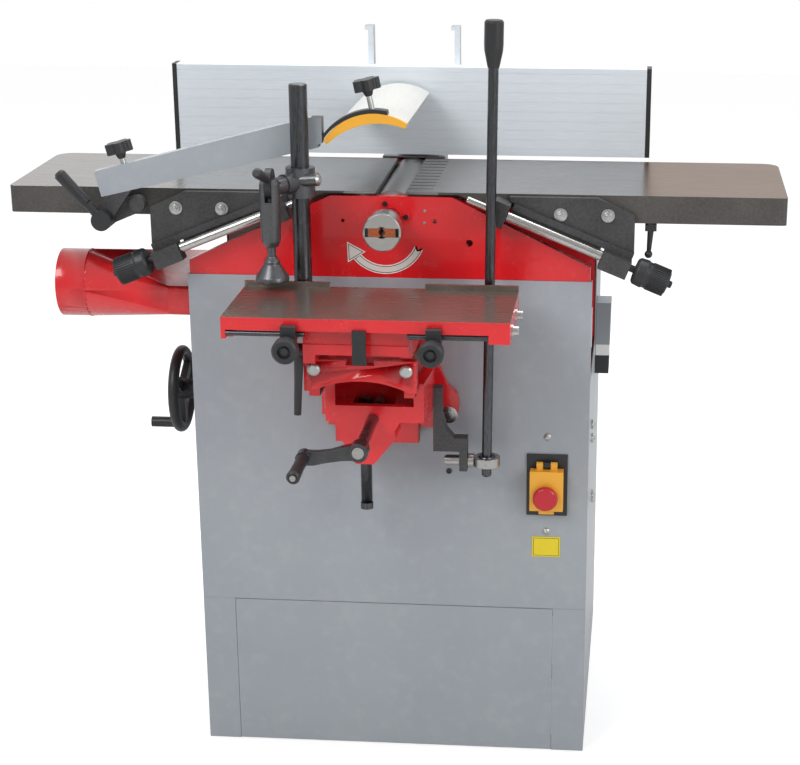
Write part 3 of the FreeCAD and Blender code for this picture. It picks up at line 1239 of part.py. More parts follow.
def guard_arm():
    half = ARM_HEIGHT / 2
    end_half = half + ARM_TAPER / 2
    web = arm_strip(0, ARM_LENGTH, -half, half, -end_half, end_half, ARM_FRONT, ARM_FRONT + ARM_SHEET)
    top = arm_strip(0, ARM_LENGTH, half - ARM_SHEET, half, end_half - ARM_SHEET, end_half, ARM_FRONT, ARM_BACK)
    low = arm_strip(0, ARM_LENGTH, -half, -half + ARM_SHEET, -end_half, -end_half + ARM_SHEET, ARM_FRONT, ARM_BACK)
    arm = web.fuse([top, low])
    x, z = arm_point(KNOB_PLACE, 0)
    arm = arm.cut(turned([(half - 8, 4 + RUN_CLEAR), (half + 8, 4 + RUN_CLEAR)], (x, ARM_FRONT + ARM_DEPTH / 2, z), arm_axis()))
    y1 = PIVOT_BRACKET_FRONT - FACE_GAP
    hub = rod_y(ARM_HUB_X, ARM_FRONT, y1, ARM_HUB_Z, 14)
    a = arm_point(2, -half)
    b = arm_point(44, -half)
    web_low = prism_xz([(ARM_HUB_X - 12, ARM_HUB_Z + 4), (ARM_HUB_X + 13, ARM_HUB_Z + 2), (b[0], b[1]), (a[0], a[1])],
                       ARM_FRONT, y1)
    holder = hub.fuse(web_low).cut(rod_y(ARM_HUB_X, ARM_FRONT - 1, y1 + 1, ARM_HUB_Z, PIVOT_PIN_R + RUN_CLEAR))
    holder = holder.cut(arm)
    upper = arm_point(ARM_LENGTH - 1, end_half)
    lower = arm_point(ARM_LENGTH - 1, -end_half + 4)
    edge = GUARD_LEFT_X - 1.5
    joint = prism_xz([upper, lower, (edge, lower[1] + 2), (edge, upper[1])], ARM_FRONT, ARM_BACK)
    return [arm.fuse([joint, guard_clip()]), holder]


def star(base, axis, radius, thick, stem_r, stem_length):
    disc = Part.makeCylinder(radius * 0.82, thick)
    for i in range(5):
        angle = math.radians(72 * i)
        lobe = Part.makeCylinder(radius * 0.36, thick, Vector(radius * 0.64 * math.cos(angle), radius * 0.64 * math.sin(angle), 0))
        notch_angle = angle + math.radians(36)
        notch = Part.makeCylinder(radius * 0.26, thick + 2, Vector(radius * 0.98 * math.cos(notch_angle),
                                                                  radius * 0.98 * math.sin(notch_angle), -1))
        disc = disc.cut(notch).fuse(lobe)
    neck = Part.makeCone(stem_r + 1, stem_r + 4, 8, Vector(0, 0, -8))
    stem = Part.makeCylinder(stem_r, stem_length, Vector(0, 0, -stem_length))
    knob = disc.fuse([neck, stem])
    turn = FreeCAD.Rotation(Vector(0, 0, 1), Vector(*axis))
    knob.Placement = FreeCAD.Placement(Vector(*base), turn)
    return knob


def arm_knob():
    x, z = arm_point(KNOB_PLACE, ARM_HEIGHT / 2 + 16)
    return star((x, ARM_FRONT + ARM_DEPTH / 2, z), arm_axis(), STAR_KNOB_R, 15, 4, 24)


# Ratchet lever on the guard arm's pivot
def guard_lever():
    y = ARM_FRONT
    hub = rod_y(ARM_HUB_X, y - 18, y - FACE_GAP, ARM_HUB_Z, 14)
    axis = (-0.665, 0, 0.747)
    arm = turned([(0, 7), (30, 6), (32, 7.5), (84, 8.5), (88, 5)], (ARM_HUB_X, y - 9, ARM_HUB_Z), axis)
    stud = rod_y(ARM_HUB_X, y - 2, y + PIN_MEET - 3, ARM_HUB_Z, PIVOT_PIN_R)
    return hub.fuse([arm, stud])


# Guard frame: u runs across the arch from its left foot, v is square to it
def guard_point(u, v):
    c = math.cos(math.radians(GUARD_TILT))
    s = math.sin(math.radians(GUARD_TILT))
    return GUARD_LEFT_X + u * c - v * s, GUARD_LEFT_Z + u * s + v * c


def guard_arc(rise, inset, drop, y):
    def at(u, v):
        x, z = guard_point(u, v)
        return Vector(x, y, z)
    return at(inset, -drop), at(GUARD_CHORD / 2, rise), at(GUARD_CHORD - inset, -drop)


def arch(rise_top, rise_low, inset_top, inset_low, drop_low, y0, y1):
    a0, a1, a2 = guard_arc(rise_top, inset_top, 0.0, y0)
    b0, b1, b2 = guard_arc(rise_low, inset_low, drop_low, y0)
    edges = [Part.Arc(a0, a1, a2).toShape(), Part.LineSegment(a2, b2).toShape(), Part.Arc(b2, b1, b0).toShape(),
             Part.LineSegment(b0, a0).toShape()]
    return Part.Face(Part.Wire(edges)).extrude(Vector(0, y1 - y0, 0))


GUARD_CAP = 5.0
FOOT_DROP = 6.0


# Bridge guard: a hollow arched extrusion with a plastic front end cap
def bridge_guard():
    y0 = ARM_FRONT + GUARD_CAP
    y1 = ARM_FRONT + GUARD_LENGTH
    low = GUARD_RISE - GUARD_THICK
    body = arch(GUARD_RISE, low, 0, 4, FOOT_DROP, y0, y1)
    t = GUARD_SKIN
    hollow = arch(GUARD_RISE - t, low + t, 10, 13, FOOT_DROP - 5, y0 - 1, y1 + 1)
    webs = []
    for u in (36, 60, 84):
        p = [guard_point(u - 1.2, -10), guard_point(u + 1.2, -10), guard_point(u + 1.2, 40), guard_point(u - 1.2, 40)]
        webs.append(prism_xz(p, y0, y1))
    for web in webs:
        hollow = hollow.cut(web)
    cap = arch(GUARD_RISE, low, 0, 4, FOOT_DROP, ARM_FRONT, y0)
    return [body.cut(hollow), cap]


CLIP_THICK = 5.0


def guard_clip():
    # saddle over the arch that holds it to the arm's end
    y1 = ARM_BACK
    gap = FACE_GAP
    top = arch(GUARD_RISE + gap + CLIP_THICK, GUARD_RISE + gap, -7, -1, -1.0, ARM_FRONT + 1, y1)
    cut = [guard_point(GUARD_CHORD * 0.8, -30), guard_point(GUARD_CHORD + 30, -30), guard_point(GUARD_CHORD + 30, 60),
           guard_point(GUARD_CHORD * 0.8, 60)]
    top = top.cut(prism_xz(cut, ARM_FRONT, y1 + 1))
    hole = guard_point(GUARD_KNOB_U, GUARD_RISE - 1)
    return top.cut(turned([(-4, 4 + RUN_CLEAR), (20, 4 + RUN_CLEAR)], (hole[0], ARM_FRONT + ARM_DEPTH / 2, hole[1]), guard_axis()))


def guard_axis():
    return (-math.sin(math.radians(GUARD_TILT)), 0, math.cos(math.radians(GUARD_TILT)))


GUARD_KNOB_U = 74.0


def guard_knob():
    x, z = guard_point(GUARD_KNOB_U, GUARD_RISE + GUARD_CLAMP_HEIGHT)
    return star((x, ARM_FRONT + ARM_DEPTH / 2, z), guard_axis(), STAR_KNOB_R, 15, 4, GUARD_CLAMP_HEIGHT - 2)


GUARD_CLAMP_HEIGHT = 30.0


# Mortising table bracket on the stand's front, with the vertical way and the screw's nut arm
WAY_BACK = FRONT - BRACKET_PLATE
KNEE_BACK = WAY_BACK - DOVE_DEPTH - SLIDE_GAP
EAR_X = 86.0
EAR_DROP = 5.0
EAR_Z = KNEE_LOW - EAR_DROP
EAR_OUTLINE = ((-26.0, 77.0), (-13.0, 70.0), (-2.0, 44.0), (12.0, 30.0), (15.0, 12.0), (11.0, -5.0), (-6.0, -12.0),
               (-26.0, -5.0))


def mortiser_bracket():
    plate = box(PLATE_LEFT, PLATE_RIGHT, WAY_BACK, FRONT, BRACKET_Z0 + 20, BRACKET_Z1)
    way = box(MORT_X - DOVE_HALF, MORT_X + DOVE_HALF, WAY_BACK - DOVE_DEPTH, WAY_BACK + 1, BRACKET_Z0, BRACKET_Z1)
    ear = prism_xz([(EAR_X + x, EAR_Z + z) for x, z in EAR_OUTLINE], WAY_BACK, FRONT)
    front = prism_xz([(MORT_X - 46, NUT_ARM_HIGH), (MORT_X + 30, NUT_ARM_HIGH), (MORT_X + 34, NUT_ARM_HIGH - 14),
                      (LIFT_X + 13, NUT_ARM_LOW), (LIFT_X - 13, NUT_ARM_LOW), (MORT_X - 46, NUT_ARM_HIGH - 14)],
                     LIFT_Y - 16, WAY_BACK)
    side = prism_yz([(WAY_BACK, BRACKET_Z0), (WAY_BACK, NUT_ARM_HIGH), (LIFT_Y - 16, NUT_ARM_HIGH),
                     (LIFT_Y - 16, NUT_ARM_LOW), (LIFT_Y + 14, NUT_ARM_LOW)], MORT_X - 50, MORT_X + 40)
    body = plate.fuse([way, ear, front.common(side)])
    bolt = turned([(0, 12.5), (2.5, 12.5), (2.5, 6.5), (7, 6.5)], (EAR_X, WAY_BACK, EAR_Z), (0, -1, 0))
    return [body.cut(rod_z(LIFT_X, LIFT_Y, NUT_ARM_LOW - 1, NUT_ARM_HIGH + 1, LIFT_R + RUN_CLEAR)), bolt]


# Knee: the casting that rises on the way and carries the two long rods
KNEE_SPLAY = 19.0


def knee():
    x0 = KNEE_LEFT
    x1 = KNEE_RIGHT
    front_left = x0 + KNEE_SPLAY
    front_right = x1 - 5
    body = box(x0, x1, KNEE_BACK - 15, KNEE_BACK, KNEE_LOW, KNEE_BACK_TOP)
    left = prism_xy([(front_left, KNEE_FRONT), (front_left + KNEE_CHEEK, KNEE_FRONT), (x0 + KNEE_CHEEK, KNEE_BACK - 1),
                     (x0, KNEE_BACK - 1)], KNEE_SKIRT, KNEE_CHEEK_TOP)
    right = prism_xy([(front_right - KNEE_CHEEK, KNEE_FRONT), (front_right, KNEE_FRONT), (x1, LEVER_Y - 14),
                      (x1, KNEE_BACK - 1), (x1 - KNEE_CHEEK, KNEE_BACK - 1)], KNEE_SKIRT, KNEE_CHEEK_TOP)
    body = body.fuse([left, right])
    for side in (-1, 1):
        gib_a = MORT_X + side * (DOVE_HALF + SLIDE_GAP)
        gib_b = MORT_X + side * (DOVE_HALF + 15)
        gib = box(min(gib_a, gib_b), max(gib_a, gib_b), KNEE_BACK - 1, WAY_BACK - FACE_GAP, KNEE_LOW, KNEE_BACK_TOP - 8)
        body = body.fuse(gib)
    tray = prism_xy([(front_left, KNEE_FRONT), (front_right, KNEE_FRONT), (x1, KNEE_BACK - 1), (x0, KNEE_BACK - 1)],
                    KNEE_SKIRT, KNEE_SKIRT + KNEE_FLOOR)
    bar = box(front_left, front_right, KNEE_FRONT, KNEE_FRONT + 12, KNEE_SKIRT, KNEE_BAR_TOP)
    lobe = prism_xz([(LIFT_X - 34, KNEE_SKIRT + 1), (LIFT_X - 22, KNEE_LOW), (CRANK_X + 26, KNEE_LOW),
                     (CRANK_X + 38, KNEE_SKIRT + 1)], KNEE_FRONT, KNEE_BACK - 1)
    body = body.fuse([tray, bar, lobe])
    body = body.cut(box(LIFT_X - 16, CRANK_X + 22, KNEE_FRONT + 12, KNEE_BACK - 15, KNEE_LOW + KNEE_FLOOR, KNEE_BAR_TOP))
    body = body.cut(rod_y(CRANK_X, KNEE_FRONT - 1, KNEE_FRONT + 13, CRANK_Z, CRANK_SHAFT_R + RUN_CLEAR))
    body = body.cut(rod_y(CRANK_X, KNEE_BACK - 16, KNEE_BACK + 1, CRANK_Z, CRANK_TAIL_R + RUN_CLEAR))
    body = body.cut(rod_z(LIFT_X, LIFT_Y, KNEE_LOW - 1, KNEE_LOW + KNEE_FLOOR + 1, LIFT_R + RUN_CLEAR))
    for side in (-1, 1):
        x = MORT_X + side * LONG_ROD_OFFSET
        body = body.cut(rod_y(x, KNEE_BACK - 16, KNEE_BACK - 3, LONG_ROD_Z, LONG_ROD_R + RUN_CLEAR))
    return [body, lever_bracket()]


# Angle bracket on the knee's right cheek that holds the control lever's joint
STUD_LUG_X = 105.0
STUD_LUG = 11.0


def lever_bracket():
    x0 = KNEE_RIGHT
    leg = x0 + 13
    foot = BALL_Z + 16
    end = STUD_LUG_X + STUD_LUG
    outline = [(x0, foot), (STUD_LUG_X, foot), (STUD_LUG_X, BALL_Z - 13), (end, BALL_Z - 13), (end, foot + 20),
               (leg + 16, foot + 20), (leg + 6, foot + 32), (leg, foot + 52), (leg, foot + 93), (x0, foot + 93)]
    plate = prism_xz(outline, LEVER_Y - 12, LEVER_Y + 8)
    return plate.cut(rod_x(STUD_LUG_X - 1, end + 1, LEVER_Y, BALL_Z, STUD_R + RUN_CLEAR))


# Long rods of the front-to-back slide, joined at the front by the cap plate
def knee_slide_rods():
    back = KNEE_BACK
    y_cap = LONG_ROD_FRONT
    x0 = MORT_X - CAP_HALF
    x1 = MORT_X + CAP_HALF
    slab = box(x0, x1, y_cap, y_cap + CAP_THICK, CAP_LOW, CAP_HIGH)
    arch_r = 150.0
    slab = slab.cut(rod_y(MORT_X, y_cap - 1, y_cap + CAP_THICK + 1, CAP_LOW + 15 - arch_r, arch_r))
    slab = slab.cut(box(MORT_X - 19, MORT_X + 19, y_cap - 1, y_cap + CAP_THICK + 1, CAP_HIGH - 7, CAP_HIGH + 1))
    solids = []
    for side in (-1, 1):
        x = MORT_X + side * LONG_ROD_OFFSET
        slab = slab.cut(rod_y(x, y_cap - 1, y_cap + CAP_THICK + 1, LONG_ROD_Z, LONG_ROD_R))
        solids.append(rod_y(x, y_cap, back - 3, LONG_ROD_Z, LONG_ROD_R))
        solids.append(turned([(0, 8.5), (4, 8.5), (6, 6)], (x, y_cap, LONG_ROD_Z), (0, -1, 0)))
        a = MORT_X + side * (CAP_HALF - 19)
        b = MORT_X + side * (CAP_HALF - 4)
        solids.append(box(min(a, b), max(a, b), y_cap + CAP_THICK, KNEE_FRONT, CAP_LOW - 11, CAP_LOW + 8))
    return [slab] + solids


def lift_screw():
    screw = turned([(0, LIFT_R + 1), (9, LIFT_R + 1), (9, LIFT_R - 1), (14, LIFT_R)], (LIFT_X, LIFT_Y, LIFT_FOOT), (0, 0, 1))
    shaft = rod_z(LIFT_X, LIFT_Y, LIFT_FOOT + 10, KNEE_LOW + KNEE_FLOOR + 20, LIFT_R)
    gear = rod_z(LIFT_X, LIFT_Y, KNEE_LOW + KNEE_FLOOR + FACE_GAP, KNEE_LOW + KNEE_FLOOR + 24, LIFT_GEAR_R)
    return screw.fuse([shaft, gear])


def crank_end():
    angle = math.radians(CRANK_ANGLE)
    return CRANK_X - CRANK_ARM * math.cos(angle), CRANK_Z - CRANK_ARM * math.sin(angle)


def crank():
    shaft = rod_y(CRANK_X, CRANK_HUB_Y - SHAFT_PROUD, LIFT_Y + 14, CRANK_Z, CRANK_SHAFT_R)
    tail = rod_y(CRANK_X, LIFT_Y + 13, KNEE_BACK - 4, CRANK_Z, CRANK_TAIL_R)
    gear = rod_y(CRANK_X, LIFT_Y - 12, LIFT_Y + 12, CRANK_Z, LIFT_GEAR_R)
    hub = rod_y(CRANK_X, CRANK_HUB_Y, CRANK_HUB_Y + 22, CRANK_Z, CRANK_HUB_R)
    end_x, end_z = crank_end()
    web = prism_xz([(CRANK_X, CRANK_Z + 11), (CRANK_X, CRANK_Z - 11), (CRANK_X - CRANK_ARM * 0.3, CRANK_Z - 12),
                    (CRANK_X - CRANK_ARM * 0.55, CRANK_Z - 15), (CRANK_X - CRANK_ARM * 0.8, end_z - 9),
                    (end_x, end_z - 9), (end_x, end_z + 9), (CRANK_X - CRANK_ARM * 0.75, end_z + 9),
                    (CRANK_X - CRANK_ARM * 0.5, CRANK_Z + 1), (CRANK_X - CRANK_ARM * 0.25, CRANK_Z + 7)],
                   CRANK_HUB_Y + 2, CRANK_HUB_Y + 15)
    eye = rod_y(end_x, CRANK_HUB_Y, CRANK_HUB_Y + 17, end_z, 10)
    pin = rod_y(end_x, CRANK_HUB_Y - CRANK_GRIP_LENGTH - 2, CRANK_HUB_Y + 1, end_z, 4)
    arm = hub.fuse([web, eye]).cut(rod_y(CRANK_X, CRANK_HUB_Y - 1, CRANK_HUB_Y + 23, CRANK_Z, CRANK_SHAFT_R))
    return [shaft.fuse([tail, gear]), arm.fuse(pin)]


def crank_grip():
    end_x, end_z = crank_end()
    y0 = CRANK_HUB_Y - FACE_GAP - CRANK_GRIP_LENGTH
    grip = turned([(0, CRANK_GRIP_R - 2.5), (2.5, CRANK_GRIP_R), (CRANK_GRIP_LENGTH * 0.6, CRANK_GRIP_R - 1.2),
                   (CRANK_GRIP_LENGTH, CRANK_GRIP_R - 0.5)], (end_x, y0, end_z), (0, 1, 0))
    return grip.cut(rod_y(end_x, y0 + 5, CRANK_HUB_Y + 1, end_z, 4 + RUN_CLEAR).fuse(
        rod_y(end_x, CRANK_HUB_Y - CRANK_GRIP_LENGTH - 3, y0 + 6, end_z, 4 + RUN_CLEAR)))


# Saddle between the long rods below and the cross rods above
def saddle():
    x0 = MORT_X - SADDLE_HALF
    x1 = MORT_X + SADDLE_HALF
    body = box(x0, x1, SADDLE_FRONT, SADDLE_REAR, SADDLE_LOW, SADDLE_HIGH)
    body = body.cut(box(x0 + 16, x1 - 16, SADDLE_FRONT + 34, SADDLE_REAR - 26, SADDLE_LOW - 1, SADDLE_HIGH + 1))
    body = body.cut(box(x0 + 16, x1 + 1, SADDLE_FRONT - 1, SADDLE_FRONT + 35, SADDLE_LOW - 1, SADDLE_LOW + SADDLE_STEP))
    for y in CROSS_ROD_Y:
        boss = box(x0, x1, y - 12, y + 12, SADDLE_HIGH - 1, CROSS_ROD_Z + 9)
        body = body.fuse(boss)
    for side in (-1, 1):
        x = MORT_X + side * LONG_ROD_OFFSET
        leg = box(x - 14, x + 14, SADDLE_REAR - 34, SADDLE_REAR, LONG_ROD_Z - 14, SADDLE_LOW + 1)
        body = body.fuse(leg)
    for y in CROSS_ROD_Y:
        body = body.cut(rod_x(x0 - 1, x1 + 1, y, CROSS_ROD_Z, CROSS_ROD_R + RUN_CLEAR))
    for side in (-1, 1):
        x = MORT_X + side * LONG_ROD_OFFSET
        body = body.cut(rod_y(x, SADDLE_REAR - 40, SADDLE_REAR + 1, LONG_ROD_Z, LONG_ROD_R + RUN_CLEAR))
    return body.cut(rod_x(x0 - 1, x0 + 14, CLAMP_Y, CLAMP_Z, 4 + RUN_CLEAR))


CLAMP_OUT = 195.0
CLAMP_Y = FRONT - CLAMP_OUT
CLAMP_Z = SADDLE_LOW + 12


def saddle_clamp_lever():
    x0 = MORT_X - SADDLE_HALF
    stem = rod_x(x0 - 4, x0 + 12, CLAMP_Y, CLAMP_Z, 4)
    hub = rod_x(x0 - 16, x0 - FACE_GAP, CLAMP_Y, CLAMP_Z, 9)
    arm = turned([(0, 7), (40, 5.5), (88, 5)], (x0 - 9, CLAMP_Y, CLAMP_Z - 2), (-0.05, 0, -1))
    return stem.fuse([hub, arm])


# Mortising table: ground plate with a skirt, rear lips, and bosses for the post and lever
STOP_LEFT = -184.0
STOP_RIGHT = 160.0


def mortiser_table():
    top = MTABLE_TOP
    low = top - MTABLE_SKIRT
    body = box(MTABLE_LEFT, MTABLE_RIGHT, MTABLE_FRONT, MTABLE_REAR, low, top)
    body = body.cut(box(MTABLE_LEFT + 14, MTABLE_RIGHT - 14, MTABLE_FRONT + MTABLE_WALL, MTABLE_REAR - MTABLE_WALL,
                        low - 1, top - MTABLE_PLATE))
    body = body.cut(box(STOP_LEFT, STOP_RIGHT, MTABLE_FRONT - 1, MTABLE_FRONT + MTABLE_WALL + 1, low - 1, low + 12))
    for a, b in ((MTABLE_LEFT, -72), (60, MTABLE_RIGHT)):
        body = body.fuse(box(a, b, MTABLE_REAR - REAR_LIP_THICK, MTABLE_REAR, top - 1, top + REAR_LIP_HEIGHT))
    post_boss = rod_z(POST_X, POST_Y, low - 4, top - 4, 20).fuse(
        box(POST_X - 20, POST_X + 20, MTABLE_REAR - 2, POST_Y, low, top - 4))
    spare_x = 92.0
    spare_boss = rod_z(spare_x, POST_Y, low, top - 4, 18).fuse(
        box(spare_x - 18, spare_x + 18, MTABLE_REAR - 2, POST_Y, low, top - 4))
    boss_x = LEVER_X + (top - 15 - BALL_Z) * math.tan(math.radians(LEVER_LEAN))
    lever_boss = rod_z(boss_x, LEVER_Y - 2, top - 22, top - 8, LEVER_BOSS_R).fuse(
        box(boss_x - LEVER_BOSS_R, boss_x + LEVER_BOSS_R, MTABLE_REAR - 2, LEVER_Y - 2, top - 22, top - 8))
    body = body.fuse([post_boss, spare_boss, lever_boss])
    body = body.cut(rod_z(POST_X, POST_Y, low - 10, top + 1, POST_R + RUN_CLEAR))
    body = body.cut(rod_z(spare_x, POST_Y, low - 10, top + 1, POST_R + RUN_CLEAR))
    body = body.cut(rod_z(boss_x, LEVER_Y - 2, top - 30, top - 1, LEVER_HOLE_R))
    body = body.cut(box(boss_x - LEVER_HOLE_R, boss_x + LEVER_HOLE_R, MTABLE_REAR, LEVER_Y - 2, top - 30, top - 1))
    solids = []
    for y in CROSS_ROD_Y:
        body = body.cut(rod_x(MTABLE_LEFT - 1, MTABLE_RIGHT + 1, y, CROSS_ROD_Z, CROSS_ROD_R))
        solids.append(rod_x(MTABLE_LEFT, MTABLE_RIGHT, y, CROSS_ROD_Z, CROSS_ROD_R))
        solids.append(turned([(0, 9), (2, 9), (2, 6.5), (9, 6.5)], (MTABLE_RIGHT, y, CROSS_ROD_Z), (1, 0, 0)))
    return [body] + solids


# Travel stops: two short rods in the front recess with clamped blocks and hollow knobs
STOP_HOLLOW_R = 9.0
STOP_CORE_R = 5.0


def table_stops():
    y = MTABLE_FRONT + 3
    z = MTABLE_TOP - MTABLE_SKIRT + 7
    solids = []
    for a, b, x in ((STOP_LEFT, -80.0, -99.0), (54.0, STOP_RIGHT, 90.0)):
        solids.append(rod_x(a, b, y, z, 3.5))
        block = box(x - 10, x + 10, y - 18, y - 4.5, z - 22, z + 14).fuse(
            box(x - 10, x + 10, y - 18, y + 4, z - 5.5, z + 4.5))
        block = block.cut(rod_x(x - 11, x + 11, y, z, 3.5))
        knob = turned([(0, 14), (3, 17), (17, 17), (20, 9)], (x - 2, y - 38, z - 14), (0, 1, 0))
        hollow = rod_y(x - 2, y - 39, y - 32, z - 14, STOP_HOLLOW_R)
        core = rod_y(x - 2, y - 35, y - 31, z - 14, STOP_CORE_R)
        knob = knob.cut(hollow).fuse(core)
        solids.append(block.fuse(knob))
    solids.append(box(-17, 1, MTABLE_FRONT - 6, MTABLE_FRONT, MTABLE_TOP - 60, MTABLE_TOP - 14))
    return solids


# Hold-down: post, swivel collar, forked head, cam lever and spindle with its cone foot
def holddown_post():
    step = MTABLE_TOP + POST_STEP
    post = rod_z(POST_X, POST_Y, MTABLE_TOP - MTABLE_SKIRT - 6, step, POST_R)
    return post.fuse([rod_z(POST_X, POST_Y, step, step + 1.5, POST_R - 0.6),
                      rod_z(POST_X, POST_Y, step + 1.5, POST_TOP - 1.5, POST_R),
                      Part.makeCone(POST_R, POST_R - 1.5, 1.5, Vector(POST_X, POST_Y, POST_TOP - 1.5))])


HEAD_DX = FORK_X - POST_X
HEAD_DY = FORK_Y - POST_Y
HEAD_LENGTH = math.hypot(HEAD_DX, HEAD_DY)
HEAD_AXIS = (HEAD_DX / HEAD_LENGTH, HEAD_DY / HEAD_LENGTH, 0)
HEAD_Z = (COLLAR_LOW + COLLAR_HIGH) / 2


def head_bar(start, end, r):
    return turned([(start, r), (end, r)], (POST_X, POST_Y, HEAD_Z), HEAD_AXIS)


def clamp_knuckle():
    collar = rod_z(POST_X, POST_Y, COLLAR_LOW, COLLAR_HIGH, COLLAR_R)
    nose = head_bar(0, 33, 14)
    side = turned([(0, 9), (24, 9), (27, 6)], (POST_X + 4, POST_Y - 12, HEAD_Z + 4), (0.9, -0.2, 0.1))
    body = collar.fuse([nose, side])
    body = body.cut(rod_z(POST_X, POST_Y, COLLAR_LOW - 1, COLLAR_HIGH + 1, POST_R + RUN_CLEAR))
    return body.cut(head_bar(22, 40, 7 + RUN_CLEAR))


def clamp_fork():
    x, y = FORK_X, FORK_Y
    neck = head_bar(23, 36, 7)
    nose = head_bar(33 + FACE_GAP, HEAD_LENGTH, 12)
    barrel = turned([(0, FORK_R - 5), (8, FORK_R - 1), (34, FORK_R), (FORK_TOP - FORK_LOW - 6, FORK_R),
                     (FORK_TOP - FORK_LOW, FORK_R - 4)], (x, y, FORK_LOW), (0, 0, 1))
    body = barrel.fuse([neck, nose])
    slot = CAM_THICK / 2 + FACE_GAP
    body = body.cut(box(x - slot, x + slot, y - 40, y + 24, CAM_Z - CAM_R - 4, FORK_TOP + 30))
    body = body.cut(rod_x(x - 20, x + 20, y, CAM_Z, 3 + RUN_CLEAR))
    return body.cut(rod_z(x, y, FORK_LOW - 1, CAM_Z, SPINDLE_R + RUN_CLEAR))


def cam_lever():
    x, y = FORK_X, FORK_Y
    disc = rod_x(x - CAM_THICK / 2, x + CAM_THICK / 2, y, CAM_Z, CAM_R)
    pin = rod_x(x - FORK_R + 1, x + FORK_R - 1, y, CAM_Z, 3)
    arm = turned([(0, 4.4), (30, 4.4), (34, 6), (78, 7), (82, 4)], (x, y - 4, CAM_Z + 4), (0, -0.95, 0.31))
    return disc.fuse([pin, arm])


def clamp_foot():
    top = CAM_Z - CAM_R - FACE_GAP
    foot = turned([(0, FOOT_R - 1), (3, FOOT_R), (8, FOOT_R - 1), (24, 11), (28, 11), (34, SPINDLE_R)],
                  (FORK_X, FORK_Y, FOOT_LOW), (0, 0, 1))
    return foot.fuse(rod_z(FORK_X, FORK_Y, FOOT_LOW + 30, top, SPINDLE_R))


# Control lever: eye with its stud, and the lever with its ball and grip
def rod_end():
    eye = rod_z(LEVER_X, LEVER_Y, BALL_Z - EYE_HEIGHT / 2, BALL_Z + EYE_HEIGHT / 2, EYE_R)
    end = STUD_LUG_X + STUD_LUG
    stud = rod_x(STUD_LUG_X - 22, LEVER_X - EYE_R + 4, LEVER_Y, BALL_Z, STUD_R)
    inner_nut = rod_x(STUD_LUG_X - 20, STUD_LUG_X - FACE_GAP, LEVER_Y, BALL_Z, 7.5)
    outer_nut = rod_x(end + FACE_GAP, end + 9, LEVER_Y, BALL_Z, 10)
    body = eye.fuse([stud, inner_nut, outer_nut])
    return body.cut(Part.makeSphere(BALL_R + RUN_CLEAR, Vector(LEVER_X, LEVER_Y, BALL_Z)))


def control_lever():
    ball = Part.makeSphere(BALL_R, Vector(LEVER_X, LEVER_Y, BALL_Z))
    low = BALL_Z - EYE_HEIGHT / 2 - 1.5
    high = BALL_Z + EYE_HEIGHT / 2 + 1.5
    ball = ball.common(box(LEVER_X - 30, LEVER_X + 30, LEVER_Y - 30, LEVER_Y + 30, low, high))
    ball = ball.cut(rod_y(LEVER_X, LEVER_Y - BALL_R, LEVER_Y + BALL_R, BALL_Z, OIL_HOLE_R))
    grip_low = LEVER_TOP - LEVER_GRIP_LENGTH
    rod = turned([(0, LEVER_R - 2), (2, LEVER_R), (grip_low + 40 - LEVER_FOOT, LEVER_R)],
                 (LEVER_X, LEVER_Y, LEVER_FOOT), (0, 0, 1))
    grip = turned([(0, LEVER_R + 1), (22, LEVER_GRIP_R - 0.5), (30, LEVER_GRIP_R), (LEVER_GRIP_LENGTH - 3, LEVER_GRIP_R),
                   (LEVER_GRIP_LENGTH, LEVER_GRIP_R - 2)], (LEVER_X, LEVER_Y, grip_low), (0, 0, 1))
    grip = grip.cut(rod_z(LEVER_X, LEVER_Y, grip_low - 1, grip_low + 40, LEVER_R))
    solids = [rod.fuse(ball), grip]
    for solid in solids:
        solid.rotate(Vector(LEVER_X, LEVER_Y, BALL_Z), Vector(0, 1, 0), LEVER_LEAN)
    return solids


NODES = {
    "base_plinth": base_plinth, "plinth_front_panel": plinth_front_panel, "cabinet_shell": cabinet_shell,
    "rear_cover": rear_cover, "side_box": side_box, "front_wall": front_wall, "rear_wall": rear_wall,
    "way_bars": way_bars, "dust_hood": dust_hood, "motor": motor, "drive_belt": drive_belt,
    "switch_plate": switch_plate, "cabinet_screws": cabinet_screws, "thickness_column": thickness_column,
    "mortiser_bracket": mortiser_bracket, "fence_guide": fence_guide,
    "infeed_table": infeed_table, "infeed_brackets": infeed_brackets, "infeed_adjuster": infeed_adjuster,
    "infeed_lock_lever": infeed_lock_lever, "outfeed_table": outfeed_table, "outfeed_brackets": outfeed_brackets,
    "outfeed_adjuster": outfeed_adjuster, "guard_bracket": guard_bracket, "guard_arm": guard_arm,
    "arm_knob": arm_knob, "guard_lever": guard_lever, "bridge_guard": bridge_guard, "guard_knob": guard_knob,
    "cutterblock": cutterblock, "chuck_body": chuck_body, "chuck_jaw_left": lambda: chuck_jaw(-1),
    "chuck_jaw_right": lambda: chuck_jaw(1), "motor_pulley": motor_pulley,
    "feed_roller_in": lambda: feed_roller(1), "feed_roller_out": lambda: feed_roller(-1),
    "thickness_table": thickness_table, "rise_gear": rise_gear, "handwheel": handwheel,
    "knee": knee, "knee_slide_rods": knee_slide_rods, "lift_screw": lift_screw, "crank": crank,
    "crank_grip": crank_grip, "saddle": saddle, "saddle_clamp_lever": saddle_clamp_lever,
    "mortiser_table": mortiser_table, "table_stops": table_stops, "holddown_post": holddown_post,
    "clamp_knuckle": clamp_knuckle, "clamp_fork": clamp_fork, "cam_lever": cam_lever, "clamp_foot": clamp_foot,
    "rod_end": rod_end, "control_lever": control_lever, "fence": fence, "fence_arm": fence_arm,
    "fence_clamp_lever": fence_clamp_lever, "switch_flap": switch_flap, "stop_mushroom": stop_mushroom,
}

